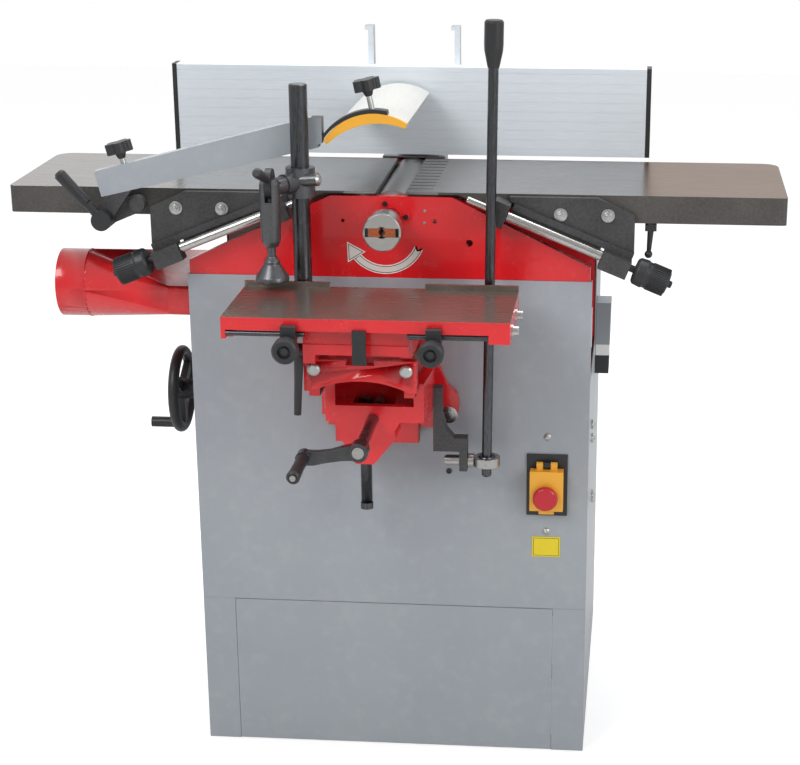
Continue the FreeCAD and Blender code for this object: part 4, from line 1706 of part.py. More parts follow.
for name, make in NODES.items():
    save(name, make())
print(len(NODES), "nodes")
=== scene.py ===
import bpy
import json
import math
from mathutils import Matrix, Vector

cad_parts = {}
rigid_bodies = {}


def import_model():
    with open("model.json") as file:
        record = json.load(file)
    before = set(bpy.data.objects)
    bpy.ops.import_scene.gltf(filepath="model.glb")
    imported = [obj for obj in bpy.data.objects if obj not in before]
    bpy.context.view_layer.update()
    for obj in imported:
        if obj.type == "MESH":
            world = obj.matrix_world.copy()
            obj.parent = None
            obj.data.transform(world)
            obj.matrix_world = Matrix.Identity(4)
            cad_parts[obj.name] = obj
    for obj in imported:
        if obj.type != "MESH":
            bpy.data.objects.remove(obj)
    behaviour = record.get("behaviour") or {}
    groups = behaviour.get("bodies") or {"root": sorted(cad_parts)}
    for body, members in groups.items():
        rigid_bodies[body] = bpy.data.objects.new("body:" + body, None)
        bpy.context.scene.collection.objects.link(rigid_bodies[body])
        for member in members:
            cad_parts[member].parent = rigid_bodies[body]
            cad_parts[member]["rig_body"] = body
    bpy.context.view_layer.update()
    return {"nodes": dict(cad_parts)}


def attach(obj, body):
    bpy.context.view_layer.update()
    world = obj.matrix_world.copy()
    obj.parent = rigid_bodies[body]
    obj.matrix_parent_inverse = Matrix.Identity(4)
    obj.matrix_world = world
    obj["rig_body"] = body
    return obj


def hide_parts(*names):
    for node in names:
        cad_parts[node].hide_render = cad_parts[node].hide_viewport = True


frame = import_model()
nodes = frame["nodes"]


# Plinth and cabinet: folded steel sheet, powder coated light grey.
# The plinth is a separate box with a screwed front panel, and the cabinet stands on it
# with a visible seam all round.
class Wire:
    """A value inside a material, so that shader sums read as ordinary sums."""

    def __init__(self, finish, socket):
        self.finish = finish
        self.socket = socket

    def _join(self, kind, first, second=None):
        values = {0: first} if second is None else {0: first, 1: second}
        return self.finish.node("ShaderNodeMath", {"operation": kind}, values)

    def __add__(self, other):
        return self._join("ADD", self, other)

    def __sub__(self, other):
        return self._join("SUBTRACT", self, other)

    def __mul__(self, other):
        return self._join("MULTIPLY", self, other)

    def __truediv__(self, other):
        return self._join("DIVIDE", self, other)

    def __rsub__(self, other):
        return self._join("SUBTRACT", other, self)

    __radd__ = __add__
    __rmul__ = __mul__

    def sharp(self, start, width):
        """0 below start, 1 above start + width."""
        step = (self - start) / width
        return self._join("MINIMUM", self._join("MAXIMUM", step, 0.0), 1.0)


def linear(code):
    """The linear colour of six hexadecimal digits."""
    parts = [int(code[i:i + 2], 16) / 255 for i in (0, 2, 4)]
    return tuple(p / 12.92 if p < 0.04 else ((p + 0.055) / 1.055) ** 2.4 for p in parts) + (1.0,)


class Finish:
    """A material in the making, with its pattern fixed to the piece."""

    def __init__(self, name):
        self.material = bpy.data.materials.new(name)
        self.material.use_nodes = True
        self.tree = self.material.node_tree
        self.shader = self.tree.nodes["Principled BSDF"]
        place = self.tree.nodes.new("ShaderNodeTexCoord").outputs["Object"]
        self.place = Wire(self, place)

    def feed(self, socket, value):
        if isinstance(value, Wire):
            self.tree.links.new(value.socket, socket)
        else:
            socket.default_value = value

    def node(self, kind, settings, values, out=0):
        made = self.tree.nodes.new(kind)
        for key, value in settings.items():
            setattr(made, key, value)
        for key, value in values.items():
            self.feed(made.inputs[key], value)
        return Wire(self, made.outputs[out])

    def stretched(self, size):
        return self.node("ShaderNodeMapping", {}, {"Vector": self.place, "Scale": size})

    def noise(self, scale, detail=2.0, size=(1, 1, 1)):
        values = {"Vector": self.stretched(size), "Scale": scale, "Detail": detail}
        return self.node("ShaderNodeTexNoise", {}, values)

    def along(self, axis):
        return self.node("ShaderNodeSeparateXYZ", {}, {"Vector": self.place}, "XYZ".index(axis))

    def mix(self, share, first, second):
        return self.node("ShaderNodeMix", {"data_type": "RGBA"}, {0: share, 6: first, 7: second}, 2)

    def bump(self, height, strength, depth):
        values = {"Height": height, "Strength": strength, "Distance": depth}
        return self.node("ShaderNodeBump", {}, values)

    def done(self, **values):
        for key, value in values.items():
            self.feed(self.shader.inputs[key.replace("_", " ")], value)
        return self.material


def painted(name, light, dark, rough, peel, dusty=0.1, gloss=0.25):
    """Sprayed enamel: slight orange peel, patchy shade and a little settled dust."""
    f = Finish(name)
    patch = f.noise(5.0, 4.0)
    peel_grain = f.noise(420.0, 2.0)
    dust = f.noise(60.0, 6.0).sharp(0.5, 0.25)
    shade = f.mix(patch.sharp(0.3, 0.4), linear(light), linear(dark))
    return f.done(Base_Color=f.mix(dust * dusty, shade, linear("C8C6C2")),
                  Roughness=rough + patch * 0.08 + dust * 0.06, Coat_Weight=gloss - dust * 0.1,
                  Normal=f.bump(peel_grain, peel, 0.0006))


def dress(node, name, finishes, edge=0.0008, smooth=38.0):
    """The finished copy of a CAD node, with its edges broken. finishes is a material, or a list of
    (material, test) where a face takes the last material whose test says yes of its middle."""
    piece = bpy.data.objects.new(name, nodes[node].data.copy())
    bpy.context.scene.collection.objects.link(piece)
    bpy.ops.object.select_all(action="DESELECT")
    piece.select_set(True)
    bpy.context.view_layer.objects.active = piece
    bpy.ops.object.mode_set(mode="EDIT")
    bpy.ops.mesh.select_all(action="SELECT")
    bpy.ops.mesh.remove_doubles(threshold=0.00001)
    bpy.ops.mesh.dissolve_limited(angle_limit=math.radians(0.6))
    bpy.ops.object.mode_set(mode="OBJECT")
    if edge:
        bevel = piece.modifiers.new("edge", "BEVEL")
        bevel.width = edge
        bevel.segments = 2
        bevel.limit_method = "ANGLE"
        bevel.angle_limit = math.radians(32)
        bpy.ops.object.modifier_apply(modifier="edge")
    bpy.ops.object.shade_smooth_by_angle(angle=math.radians(smooth))
    if edge:
        even = piece.modifiers.new("even", "WEIGHTED_NORMAL")
        even.keep_sharp = True
        bpy.ops.object.modifier_apply(modifier="even")
    piece.data.materials.clear()
    if not isinstance(finishes, list):
        finishes = [(finishes, None)]
    for material, _ in finishes:
        piece.data.materials.append(material)
    for face in piece.data.polygons:
        face.material_index = 0
        for i, (_, test) in enumerate(finishes):
            if test and test(face.center):
                face.material_index = i
    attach(piece, nodes[node]["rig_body"])
    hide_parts(node)
    return piece


grey = painted("cabinet_enamel", "9BA1A7", "949AA1", 0.36, 0.10)
dress("base_plinth", "plinth", grey, 0.0011)
dress("plinth_front_panel", "plinth_panel", grey, 0.0008)
dress("cabinet_shell", "cabinet", grey, 0.0009)
dress("rear_cover", "cabinet_rear", grey, 0.0008)


# Domed screws and bolts that hold the cabinet's sheets, zinc plated.
# They are pressed steel with a dull shine.
def plain(name, light, dark, rough, metal, grain, depth=0.0003):
    """Bare or moulded surface with a fine even grain."""
    f = Finish(name)
    speck = f.noise(grain, 4.0)
    patch = f.noise(14.0, 3.0)
    tone = f.mix((speck * 0.5 + patch * 0.5).sharp(0.35, 0.3), linear(light), linear(dark))
    return f.done(Base_Color=tone, Roughness=rough + speck * 0.14, Metallic=metal,
                  Normal=f.bump(speck, 0.35, depth))


zinc = plain("zinc_plate", "C9CCC9", "A9ACAA", 0.26, 0.9, 500.0, 0.0001)
dress("cabinet_screws", "domed_screws", zinc, 0.0)

# Switch opening at the right of the cabinet: a black back plate, a yellow hinged cover and a red
# mushroom button in it. All three are moulded plastic.
black = plain("black_plastic", "2C2D2F", "202123", 0.36, 0.0, 900.0, 0.0002)
yellow = plain("yellow_plastic", "F0B03A", "E6A52E", 0.28, 0.0, 900.0, 0.0001)
stop_red = plain("stop_red", "C2202F", "AE1C2A", 0.22, 0.0, 900.0, 0.0001)
dress("switch_plate", "switch_back", black, 0.0008)
dress("switch_flap", "stop_cover", yellow, 0.0012)
dress("stop_mushroom", "stop_button_head", stop_red, 0.0008)


# Yellow marking plate under the switch: thin aluminium sheet, painted and glued on.
# It is left without words, with a plain dark line as its border.
def clear_all():
    bpy.ops.object.select_all(action="DESELECT")


def block(middle, size):
    """A box as a start for modelling, with its place in its mesh."""
    clear_all()
    bpy.ops.mesh.primitive_cube_add(size=1.0, location=middle, scale=size)
    bpy.ops.object.transform_apply(location=True, rotation=True, scale=True)
    return bpy.context.active_object


def settle(name, material, body, edge=0.0, smooth=38.0):
    """Puts the active object's place into its mesh and hands it to its body."""
    piece = bpy.context.active_object
    clear_all()
    piece.select_set(True)
    bpy.context.view_layer.objects.active = piece
    bpy.ops.object.transform_apply(location=True, rotation=True, scale=True)
    if edge:
        bevel = piece.modifiers.new("edge", "BEVEL")
        bevel.width = edge
        bevel.segments = 2
        bevel.limit_method = "ANGLE"
        bevel.angle_limit = math.radians(32)
        bpy.ops.object.modifier_apply(modifier="edge")
    bpy.ops.object.shade_smooth_by_angle(angle=math.radians(smooth))
    piece.name = name
    if material:
        piece.data.materials.append(material)
    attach(piece, body)
    return piece


def faces_where(piece, test):
    """Selects, in edit mode, the faces whose middle and normal pass the test."""
    bpy.ops.object.mode_set(mode="EDIT")
    bpy.ops.mesh.select_mode(type="FACE")
    bpy.ops.mesh.select_all(action="DESELECT")
    bpy.ops.object.mode_set(mode="OBJECT")
    for face in piece.data.polygons:
        face.select = bool(test(face.center, face.normal))
    bpy.ops.object.mode_set(mode="EDIT")


def framed(piece, outer, rims):
    """Insets the front faces rim by rim; each rim is a width and the material inside it."""
    piece.data.materials.append(outer)
    faces_where(piece, lambda c, n: n.y < -0.9)
    for width, inside in rims:
        piece.data.materials.append(inside)
        bpy.ops.mesh.inset(thickness=width)
        piece.active_material_index = len(piece.data.materials) - 1
        bpy.ops.object.material_slot_assign()
    bpy.ops.object.mode_set(mode="OBJECT")


plate_yellow = plain("plate_yellow", "E6D024", "DDC51E", 0.34, 0.0, 600.0, 0.0001)
plate_line = plain("plate_line", "2B2B28", "222220", 0.4, 0.0, 600.0, 0.0001)
plate = block((0.2265, -0.2756, 0.3305), (0.041, 0.0008, 0.031))
framed(plate, plate_yellow, [(0.0018, plate_line), (0.0007, plate_yellow)])
settle("marking_plate", None, "stand")

# Interlock box on the stand's right side: a moulded housing, grey above and black below.
# A pale clip runs across its middle.
housing = Finish("interlock_housing")
height = housing.along("Z")
tone = housing.mix(height.sharp(0.560, 0.001), linear("E4E5E3"), linear("8F959A"))
tone = housing.mix(height.sharp(0.543, 0.001), linear("2A2B2D"), tone)
grain = housing.noise(700.0, 2.0)
housing = housing.done(Base_Color=tone, Roughness=0.36 + grain * 0.1,
                       Normal=housing.bump(grain, 0.3, 0.0002))
dress("side_box", "interlock_box", housing, 0.0012)

# Edge strip above the interlock box: pale folded sheet with a turned lip.
# It is spot welded to the cabinet's side.
pale = painted("pale_enamel", "DCDFE1", "D2D5D8", 0.3, 0.1)
strip = block((0.2826, -0.2676, 0.661), (0.0088, 0.0012, 0.058))
faces_where(strip, lambda c, n: n.y > 0.9)
bpy.ops.mesh.inset(thickness=0.0015)
bpy.ops.mesh.extrude_region_move(TRANSFORM_OT_translate={"value": (0, 0.005, 0)})
bpy.ops.object.mode_set(mode="OBJECT")
settle("edge_strip", pale, "stand", 0.0003)


# Red frame walls: thick steel plate, sprayed gloss red, that carry the cutterblock's bearings.
# The bearing rings are bare steel, and the sockets of the bolts are black inside.
def ground(name, light, dark, rough, size, streaks=40.0, metal=1.0):
    """Ground steel with fine scratches; size is the pattern's scale along X, Y and Z."""
    f = Finish(name)
    line = f.noise(streaks, 5.0, size)
    patch = f.noise(7.0, 3.0)
    tone = f.mix(line.sharp(0.35, 0.3), linear(light), linear(dark))
    return f.done(Base_Color=f.mix(patch * 0.35, tone, linear(dark)), Metallic=metal,
                  Roughness=rough + line * 0.10 + patch * 0.06, Normal=f.bump(line, 0.12, 0.0002))


red = painted("red_enamel", "DE2128", "D01B21", 0.2, 0.12, 0.02, 0.4)
steel = ground("turned_steel", "C6C6C4", "9A9894", 0.22, (1, 60, 60))
soot = plain("socket_black", "1E1E20", "161617", 0.4, 0.3, 500.0)
cutter_x, cutter_z = 0.005, 0.814


def near_shaft(p, radius):
    return math.hypot(p.x - cutter_x, p.z - cutter_z) < radius


dress("front_wall", "front_wall_plate",
      [(red, None), (steel, lambda p: near_shaft(p, 0.0235) and p.y > -0.2728),
       (soot, lambda p: p.y < -0.2775)], 0.0009)
dress("rear_wall", "rear_wall_plate",
      [(red, None), (steel, lambda p: near_shaft(p, 0.0235))], 0.0009)


# Turning mark under the chuck: a curved arrow cut from thin sheet, white with a dark border.
# It is glued on the front wall, and shows which way the cutterblock turns.
def drum(foot, axis, radius, length, sides=32):
    """A round or six-sided bar from its foot along an axis, as a start for modelling."""
    clear_all()
    along = Vector(axis).normalized()
    bpy.ops.mesh.primitive_cylinder_add(vertices=sides, radius=radius, depth=length,
                                        location=Vector(foot) + along * length / 2,
                                        rotation=along.to_track_quat("Z", "Y").to_euler())
    bpy.ops.object.transform_apply(location=True, rotation=True, scale=True)
    return bpy.context.active_object


def swing(piece, spot, angle):
    """Turns a mesh about a spot in the front's plane."""
    home = Matrix.Translation(spot)
    piece.data.transform(home @ Matrix.Rotation(-angle, 4, "Y") @ home.inverted())


mark_white = plain("mark_white", "ECEAE6", "E2DFDA", 0.4, 0.0, 500.0, 0.0001)
mark_line = plain("mark_line", "4A4644", "3C3937", 0.4, 0.0, 500.0, 0.0001)
mark_fill = plain("mark_fill", "D9D6D0", "CECBC5", 0.4, 0.0, 500.0, 0.0001)
mark_rims = [(0.0014, mark_line), (0.0011, mark_fill)]
arc = Vector((-0.0045, -0.2734, 0.7915))
radius, band, tail, sweep = 0.052, 0.0125, math.radians(-22), math.radians(-118)
spot = arc + radius * Vector((math.cos(tail), 0, math.sin(tail)))
arrow = block(spot, (band, 0.0008, 0.0004))
swing(arrow, spot, tail)
bpy.ops.object.mode_set(mode="EDIT")
bpy.ops.mesh.select_all(action="SELECT")
bpy.ops.mesh.subdivide(number_cuts=1)
bpy.ops.object.mode_set(mode="OBJECT")
ahead = Vector((math.sin(tail), 0, -math.cos(tail)))
faces_where(arrow, lambda c, n: n.dot(ahead) > 0.7)
bpy.ops.mesh.spin(steps=28, angle=-sweep, center=arc, axis=(0, -1, 0))
bpy.ops.mesh.select_all(action="SELECT")
bpy.ops.mesh.remove_doubles(threshold=0.00001)
bpy.ops.mesh.normals_make_consistent(inside=False)
bpy.ops.object.mode_set(mode="OBJECT")
notch = band * 0.4
for corner in arrow.data.vertices:
    if (corner.co - spot).length < notch / 2:
        corner.co += ahead * notch
framed(arrow, mark_white, mark_rims)
settle("turning_mark_band", None, "stand")

tip = tail + sweep - math.radians(8)
spot = arc + radius * Vector((math.cos(tip), 0, math.sin(tip)))
head = drum(spot - Vector((0, 0.0002, 0)), (0, -1, 0), 0.017, 0.0008, 3)
ahead = Vector((math.sin(tip), 0, -math.cos(tip)))
apex = head.data.vertices[0].co
turn = math.atan2(ahead.z, ahead.x) - math.atan2(apex.z - spot.z, apex.x - spot.x)
swing(head, spot, turn)
framed(head, mark_white, mark_rims)
settle("turning_mark_head", None, "stand")

# Small round heads on the front: two pale rivets beside the bearing cap, turned from aluminium,
# and a black disc sunk into a spare hole of the cabinet, which is painted shade for the hole's dark
# inside.
for name, x, z in (("upper", 0.0524, 0.8236), ("lower", 0.0515, 0.8067)):
    rivet = drum((x, -0.2728, z), (0, -1, 0), 0.0022, 0.001, 20)
    faces_where(rivet, lambda c, n: n.y < -0.9)
    bpy.ops.mesh.inset(thickness=0.0009)
    bpy.ops.mesh.extrude_region_move(TRANSFORM_OT_translate={"value": (0, -0.0004, 0)})
    bpy.ops.object.mode_set(mode="OBJECT")
    settle("bearing_rivet_" + name, zinc, "stand", 0.0002)
# Painted shade: a black disc sunk into the spare hole, standing in for the shade inside it.
shade_disc = drum((0.0845, -0.2748, 0.4433), (0, -1, 0), 0.0042, 0.0012, 20)
faces_where(shade_disc, lambda c, n: n.y < -0.9)
bpy.ops.mesh.inset(thickness=0.0014)
bpy.ops.mesh.extrude_region_move(TRANSFORM_OT_translate={"value": (0, 0.0006, 0)})
bpy.ops.object.mode_set(mode="OBJECT")
settle("hole_shade_disc", black, "stand", 0.0002)

# Electric motor in the cabinet, with the belt that drives the cutterblock behind the rear wall.
# The motor has a ribbed cast housing, the pulleys are cast iron and the belt is rubber.
iron = plain("cast_iron", "4E4E50", "3B3A3A", 0.46, 0.35, 260.0, 0.0005)
rubber = plain("black_rubber", "232324", "19191A", 0.62, 0.0, 700.0)
dress("motor", "motor_frame", iron, 0.0)
dress("motor_pulley", "motor_pulley_wheel", iron, 0.0)
dress("drive_belt", "belt", rubber, 0.0)

# Thicknessing bed on its column: a ground plate with ribs under it, and a bevel nut in the gearbox.
# The column is a casting bolted to the cabinet's inner floor.
bed_top = ground("bed_top", "B4B2AF", "8F8C88", 0.2, (1, 24, 1), 30.0)
dress("thickness_column", "bed_column", iron, 0.0)
dress("rise_gear", "bevel_nut", iron, 0.0)
dress("thickness_table", "thicknessing_bed",
      [(iron, None), (bed_top, lambda p: p.z > 0.6595)], 0.0006)

# Handwheel for the bed's height, at the left side: moulded black wheel on a steel shaft.
# A grip is moulded in one piece with its rim.
dress("handwheel", "height_handwheel",
      [(black, None), (steel, lambda p: p.x > -0.3155)], 0.0008)

# Cutterblock and feed rollers between the frame walls, all turned steel.
# The outfeed roller is covered with rubber.
dress("cutterblock", "cutterblock_body", steel, 0.0)
dress("feed_roller_in", "infeed_roller", steel, 0.0)
dress("feed_roller_out", "outfeed_roller", rubber, 0.0)

# Two-jaw chuck on the cutterblock's front end: turned steel with duller jaws in a slot.
# Copper coloured grease is smeared in the middle.
bright = ground("chuck_steel", "D6D5D2", "A9A6A2", 0.16, (60, 4, 60), 30.0)
copper = plain("copper_grease", "B5623A", "8E4526", 0.4, 0.5, 300.0, 0.0006)
dress("chuck_body", "chuck", bright, 0.0006)
dull = ground("dull_steel", "A5A3A0", "7F7C79", 0.3, (40, 40, 40), 30.0)
for side in ("left", "right"):
    dress("chuck_jaw_" + side, "jaw_" + side + "_piece",
          [(dull, None), (copper, lambda p: near_shaft(p, 0.0062))], 0.0004)

# Dust hood under the outfeed table: folded and welded sheet, sprayed red, with a round spigot.
# A rolled bead runs round the spigot's root.
dress("dust_hood", "dust_hood_shell", red, 0.0, 30)

# Inclined ways at both ends of the red walls: flat steel bars that the planing tables slide on.
# They are painted grey black, with the screws' nut blocks at their upper end.
dress("way_bars", "inclined_ways", iron, 0.0006)

# Planing tables: machined cast iron with lips at the cutterblock. The tops are ground and oiled,
# and beyond x 0.352 they carry a painted brown reflection; the rims and the undersides keep a dark
# paint over the casting.
table_top = Finish("planed_top")
scratch = table_top.noise(30.0, 6.0, (1, 26, 1))
haze = table_top.noise(3.2, 4.0)
# Painted reflection: beyond x 0.352 the top's colour turns brown, a reflection painted into it, and
# its roughness rises a little there.
painted_reflection = table_top.along("X").sharp(0.352, 0.006)
tone = table_top.mix(scratch.sharp(0.3, 0.4), linear("A3A19F"), linear("878482"))
reflected_brown = table_top.mix(scratch.sharp(0.3, 0.4), linear("7E6350"), linear("6A5343"))
tone = table_top.mix(painted_reflection, tone, reflected_brown)
table_top = table_top.done(Base_Color=tone, Metallic=0.9,
                           Roughness=0.18 + scratch * 0.08 + haze * 0.08 + painted_reflection * 0.06,
                           Normal=table_top.bump(scratch, 0.06, 0.0002))
rim = plain("rim_paint", "55524F", "413E3C", 0.42, 0.1, 300.0, 0.0004)


def on_top(p):
    return p.z > 0.8493 or (abs(p.x - cutter_x) < 0.0665 and p.z > 0.8385)


for side in ("infeed", "outfeed"):
    dress(side + "_table", side + "_planing_table",
          [(rim, None), (table_top, on_top)], 0.0008)
    dress(side + "_brackets", side + "_bracket_castings", iron, 0.0009)

# Screws that hold each table to its bracket: washer and hexagon nut, two at each end.
# They are zinc plated and sit on the bracket's front.
def hex_bolt(name, foot, axis, across, washer, body, metal, height=0.0045, stud=0.003):
    """A washer, a hexagon and a short stud, as one bolt seen from outside."""
    along = Vector(axis).normalized()
    bolt = drum(foot, along, washer, 0.0014)
    ring = drum(Vector(foot) + along * 0.0014, along, across, height, 6)
    far = Vector(foot) + along * (0.0014 + height)
    faces_where(ring, lambda c, n: n.dot(along) > 0.9 and (c - far).dot(along) > -0.0005)
    bpy.ops.mesh.inset(thickness=across * 0.12)
    bpy.ops.mesh.extrude_region_move(TRANSFORM_OT_translate={"value": along * 0.0004})
    bpy.ops.mesh.inset(thickness=across * 0.3)
    bpy.ops.mesh.extrude_region_move(TRANSFORM_OT_translate={"value": along * stud})
    bpy.ops.object.mode_set(mode="OBJECT")
    clear_all()
    ring.select_set(True)
    bolt.select_set(True)
    bpy.context.view_layer.objects.active = bolt
    bpy.ops.object.join()
    return settle(name, metal, body, 0.0003)


for name, u in (("outer", 0.301), ("inner", 0.236)):
    for side, way in (("infeed", 1), ("outfeed", -1)):
        hex_bolt(side + "_" + name + "_nut", (cutter_x + way * u, -0.284, 0.824), (0, -1, 0),
                 0.0066, 0.0092, nodes[side + "_brackets"]["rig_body"], zinc)


# Table adjusters: a steel sleeve on a screw between two blocks, with a ribbed plastic hand knob.
# The knob's ribs are moulded in one piece with it.
shiny = ground("bright_steel", "DAD9D7", "B0AEAA", 0.14, (40, 2, 40), 24.0)
slope = math.radians(22.0)
ramp_out, ramp_top, screw_drop, screw_front = 0.157, 0.845, 0.0176, -0.298
knob_ribs, rib_radius, rib_along = 36, 0.0187, 0.2385


def down_slope(p, side):
    """Distance from the ramp's top along the adjusting screw."""
    run = side * (p.x - cutter_x) - ramp_out
    return run * math.cos(slope) - (p.z - ramp_top) * math.sin(slope)


for side, way in (("infeed", 1), ("outfeed", -1)):
    dress(side + "_adjuster", side + "_adjusting_screw",
          [(shiny, None), (black, lambda p, way=way: down_slope(p, way) > 0.2035)], 0.0007)
    start = Vector((cutter_x + way * (ramp_out - screw_drop * math.sin(slope)), screw_front,
                    ramp_top - screw_drop * math.cos(slope)))
    axis = Vector((way * math.cos(slope), 0, -math.sin(slope)))
    turn = axis.to_track_quat("Z", "Y").to_matrix().to_4x4()
    ribs = []
    for i in range(knob_ribs):
        angle = 2 * math.pi * i / knob_ribs
        rib = block((0, 0, 0), (0.0018, 0.0016, 0.026))
        rib.data.transform(Matrix.Translation(start) @ turn @ Matrix.Rotation(angle, 4, "Z")
                           @ Matrix.Translation((rib_radius, 0, rib_along)))
        ribs.append(rib)
    clear_all()
    for rib in ribs:
        rib.select_set(True)
    bpy.context.view_layer.objects.active = ribs[0]
    bpy.ops.object.join()
    settle(side + "_knob_ribs", black, nodes[side + "_adjuster"]["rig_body"], 0.0005)

# Clamp lever that locks the infeed table on its way: moulded black plastic on a steel stud.
# It can be turned to a free angle.
dress("infeed_lock_lever", "infeed_lock", black, 0.0004)

# Fence: a ribbed aluminium extrusion with black end caps, on two straps and a sliding carriage.
# The carriage runs in a cast guide block on the rear wall, with a clamp lever on top.
extruded = Finish("extruded_aluminium")
fine = extruded.noise(60.0, 4.0, (0.6, 40, 40))
tone = extruded.mix(fine.sharp(0.3, 0.4), linear("E9F0F6"), linear("DCE3EA"))
extruded = extruded.done(Base_Color=tone, Metallic=0.35, Roughness=0.34 + fine * 0.1,
                         Normal=extruded.bump(fine, 0.08, 0.0002))
dress("fence_guide", "fence_guide_block", iron, 0.0008)
dress("fence_arm", "fence_carriage", steel, 0.0006)
dress("fence", "fence_profile",
      [(extruded, None), (black, lambda p: abs(p.x - 0.0015) > 0.3521),
       (zinc, lambda p: p.y > 0.0222)], 0.0)
dress("fence_clamp_lever", "fence_clamp", black, 0.0006)

# Guard arm: a tapered steel channel, painted grey, on a cast holder and bracket at the outfeed
# end. Star knobs and a ratchet lever clamp it.
arm_foot = Vector((-0.400, 0, 0.859))
arm_rise = math.radians(14)


def above_arm(p):
    """Height over the arm's middle line, square to it."""
    return (p.z - arm_foot.z) * math.cos(arm_rise) - (p.x - arm_foot.x) * math.sin(arm_rise)


dress("guard_bracket", "guard_bracket_casting", iron, 0.0008)
dress("guard_arm", "guard_arm_channel",
      [(grey, None), (iron, lambda p: above_arm(p) < -0.0187 and p.x < -0.33),
       (black, lambda p: p.x > -0.0955)], 0.0006)
dress("arm_knob", "arm_star_knob",
      [(black, None), (zinc, lambda p: p.z < 0.893)], 0.0014)
dress("guard_lever", "guard_ratchet_lever", black, 0.0006)

# Bridge guard over the cutterblock: an arched aluminium extrusion with a yellow plastic end.
# It slides under the clip at the arm's end, where a star knob clamps it.
guard_top = Finish("guard_aluminium")
fine = guard_top.noise(60.0, 4.0, (30, 0.6, 30))
tone = guard_top.mix(fine.sharp(0.3, 0.4), linear("D6D6D2"), linear("C8C8C4"))
guard_top = guard_top.done(Base_Color=tone, Metallic=0.3, Roughness=0.34 + fine * 0.12,
                           Normal=guard_top.bump(fine, 0.1, 0.0002))
dress("bridge_guard", "bridge_guard_profile",
      [(guard_top, None), (yellow, lambda p: p.y < -0.2978)], 0.0005)
dress("guard_knob", "guard_star_knob",
      [(black, None), (zinc, lambda p: p.z < 0.982)], 0.0014)

# Mortiser bracket: a red casting bolted to the front wall, with the upright way for the knee and
# the lift screw's nut below it.
bronze = plain("slide_way", "8A7350", "5E4C36", 0.4, 0.7, 200.0)
dress("mortiser_bracket", "mortiser_bracket_casting",
      [(red, None), (bronze, lambda p: 0.0437 < p.x < 0.05 and p.y < -0.2872),
       (shiny, lambda p: p.x > 0.0735 and p.y < -0.2872)], 0.0012)

# Knee of the mortiser: a red casting with two long rods and their cap plate in front.
# Its machined side face is bare, the rods are brass coloured under their oil, and the two
# buffers behind the cap are rubber.
brass = ground("oiled_brass", "B98A45", "8E6733", 0.24, (60, 1, 60), 24.0)
dress("knee", "knee_casting", [(red, None), (iron, lambda p: p.x > 0.0682)], 0.0014)
dress("knee_slide_rods", "knee_cap_and_rods",
      [(red, None), (zinc, lambda p: p.y < -0.4562), (brass, lambda p: p.y > -0.4419),
       (rubber, lambda p: p.y > -0.4419 and p.z < 0.6238)], 0.0012)

# Lift screw under the knee: a turned steel spindle with a trapezoidal thread cut round it.
# It stands in the bracket's nut.
dark_steel = ground("blackened_steel", "6A6B6E", "48494C", 0.2, (40, 40, 2))
core = dress("lift_screw", "lift_screw_core", dark_steel, 0.0)
screw_x, screw_y, foot_z, pitch, depth = -0.0275, -0.332, 0.418, 0.004, 0.0014
crest, first_z, turns, steps = 0.008, foot_z + 0.0035, 27, 16
for corner in core.data.vertices:
    out = Vector((corner.co.x - screw_x, corner.co.y - screw_y, 0))
    if foot_z < corner.co.z < foot_z + 0.12 and crest - 0.0005 < out.length < crest + 0.0005:
        corner.co -= out.normalized() * depth
thread = block((screw_x + crest - depth * 0.8, screw_y, first_z),
               (depth * 1.6, 0.0001, pitch * 0.55))
for corner in thread.data.vertices:
    if corner.co.x > screw_x + crest - 0.001:
        corner.co.z = first_z + (corner.co.z - first_z) * 0.45
faces_where(thread, lambda c, n: n.y > 0.7)
bpy.ops.mesh.spin(steps=steps * turns, angle=2 * math.pi * turns,
                  center=(screw_x, screw_y, 0), axis=(0, 0, 1))
bpy.ops.mesh.select_all(action="SELECT")
bpy.ops.mesh.normals_make_consistent(inside=False)
bpy.ops.object.mode_set(mode="OBJECT")
for corner in thread.data.vertices:
    around = math.atan2(corner.co.y - screw_y, corner.co.x - screw_x) / (2 * math.pi) % 1.0
    corner.co.z += pitch * around
settle("lift_screw_thread", dark_steel, nodes["lift_screw"]["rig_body"])

# Crank that turns the lift screw: a cast arm, painted black, on a steel shaft.
# The grip is moulded and turns on its pin.
gloss_black = painted("black_enamel", "2A2B2D", "232426", 0.2, 0.1, 0.04, 0.4)
dress("crank", "crank_arm",
      [(gloss_black, None), (steel, lambda p: p.y < -0.5483)],
      0.0012)
dress("crank_grip", "crank_handle", black, 0.0004)

# Saddle between the knee's rods and the mortising table: a red casting with a clamp lever.
# Its bores run on the long rods.
dress("saddle", "saddle_casting", red, 0.0012)
dress("saddle_clamp_lever", "saddle_clamp", black, 0.0006)

# Mortising table: cast iron with a ground top and T-slots, its skirt sprayed red.
# The cross rods' ends are bare steel.
mort_top = Finish("mortiser_top")
scr = mort_top.noise(26.0, 6.0, (1, 22, 1))
haze = mort_top.noise(9.0, 3.0)
tone = mort_top.mix(scr.sharp(0.3, 0.4), linear("90857F"), linear("75695F"))
mort_top = mort_top.done(Base_Color=tone,
                         Metallic=0.75, Roughness=0.2 + scr * 0.08 + haze * 0.08,
                         Normal=mort_top.bump(scr, 0.05, 0.0002))
dress("mortiser_table", "mortising_table_casting",
      [(red, None), (mort_top, lambda p: p.z > 0.7225),
       (zinc, lambda p: p.x > 0.1882)], 0.001)

# Stops along the table's front: two blocks with hollow knobs on dark steel rods.
# The blocks and knobs are black plastic.
dress("table_stops", "table_stop_set",
      [(black, None), (dark_steel, lambda p: p.y > -0.513 and abs(p.z - 0.708) < 0.0037)],
      0.0008)

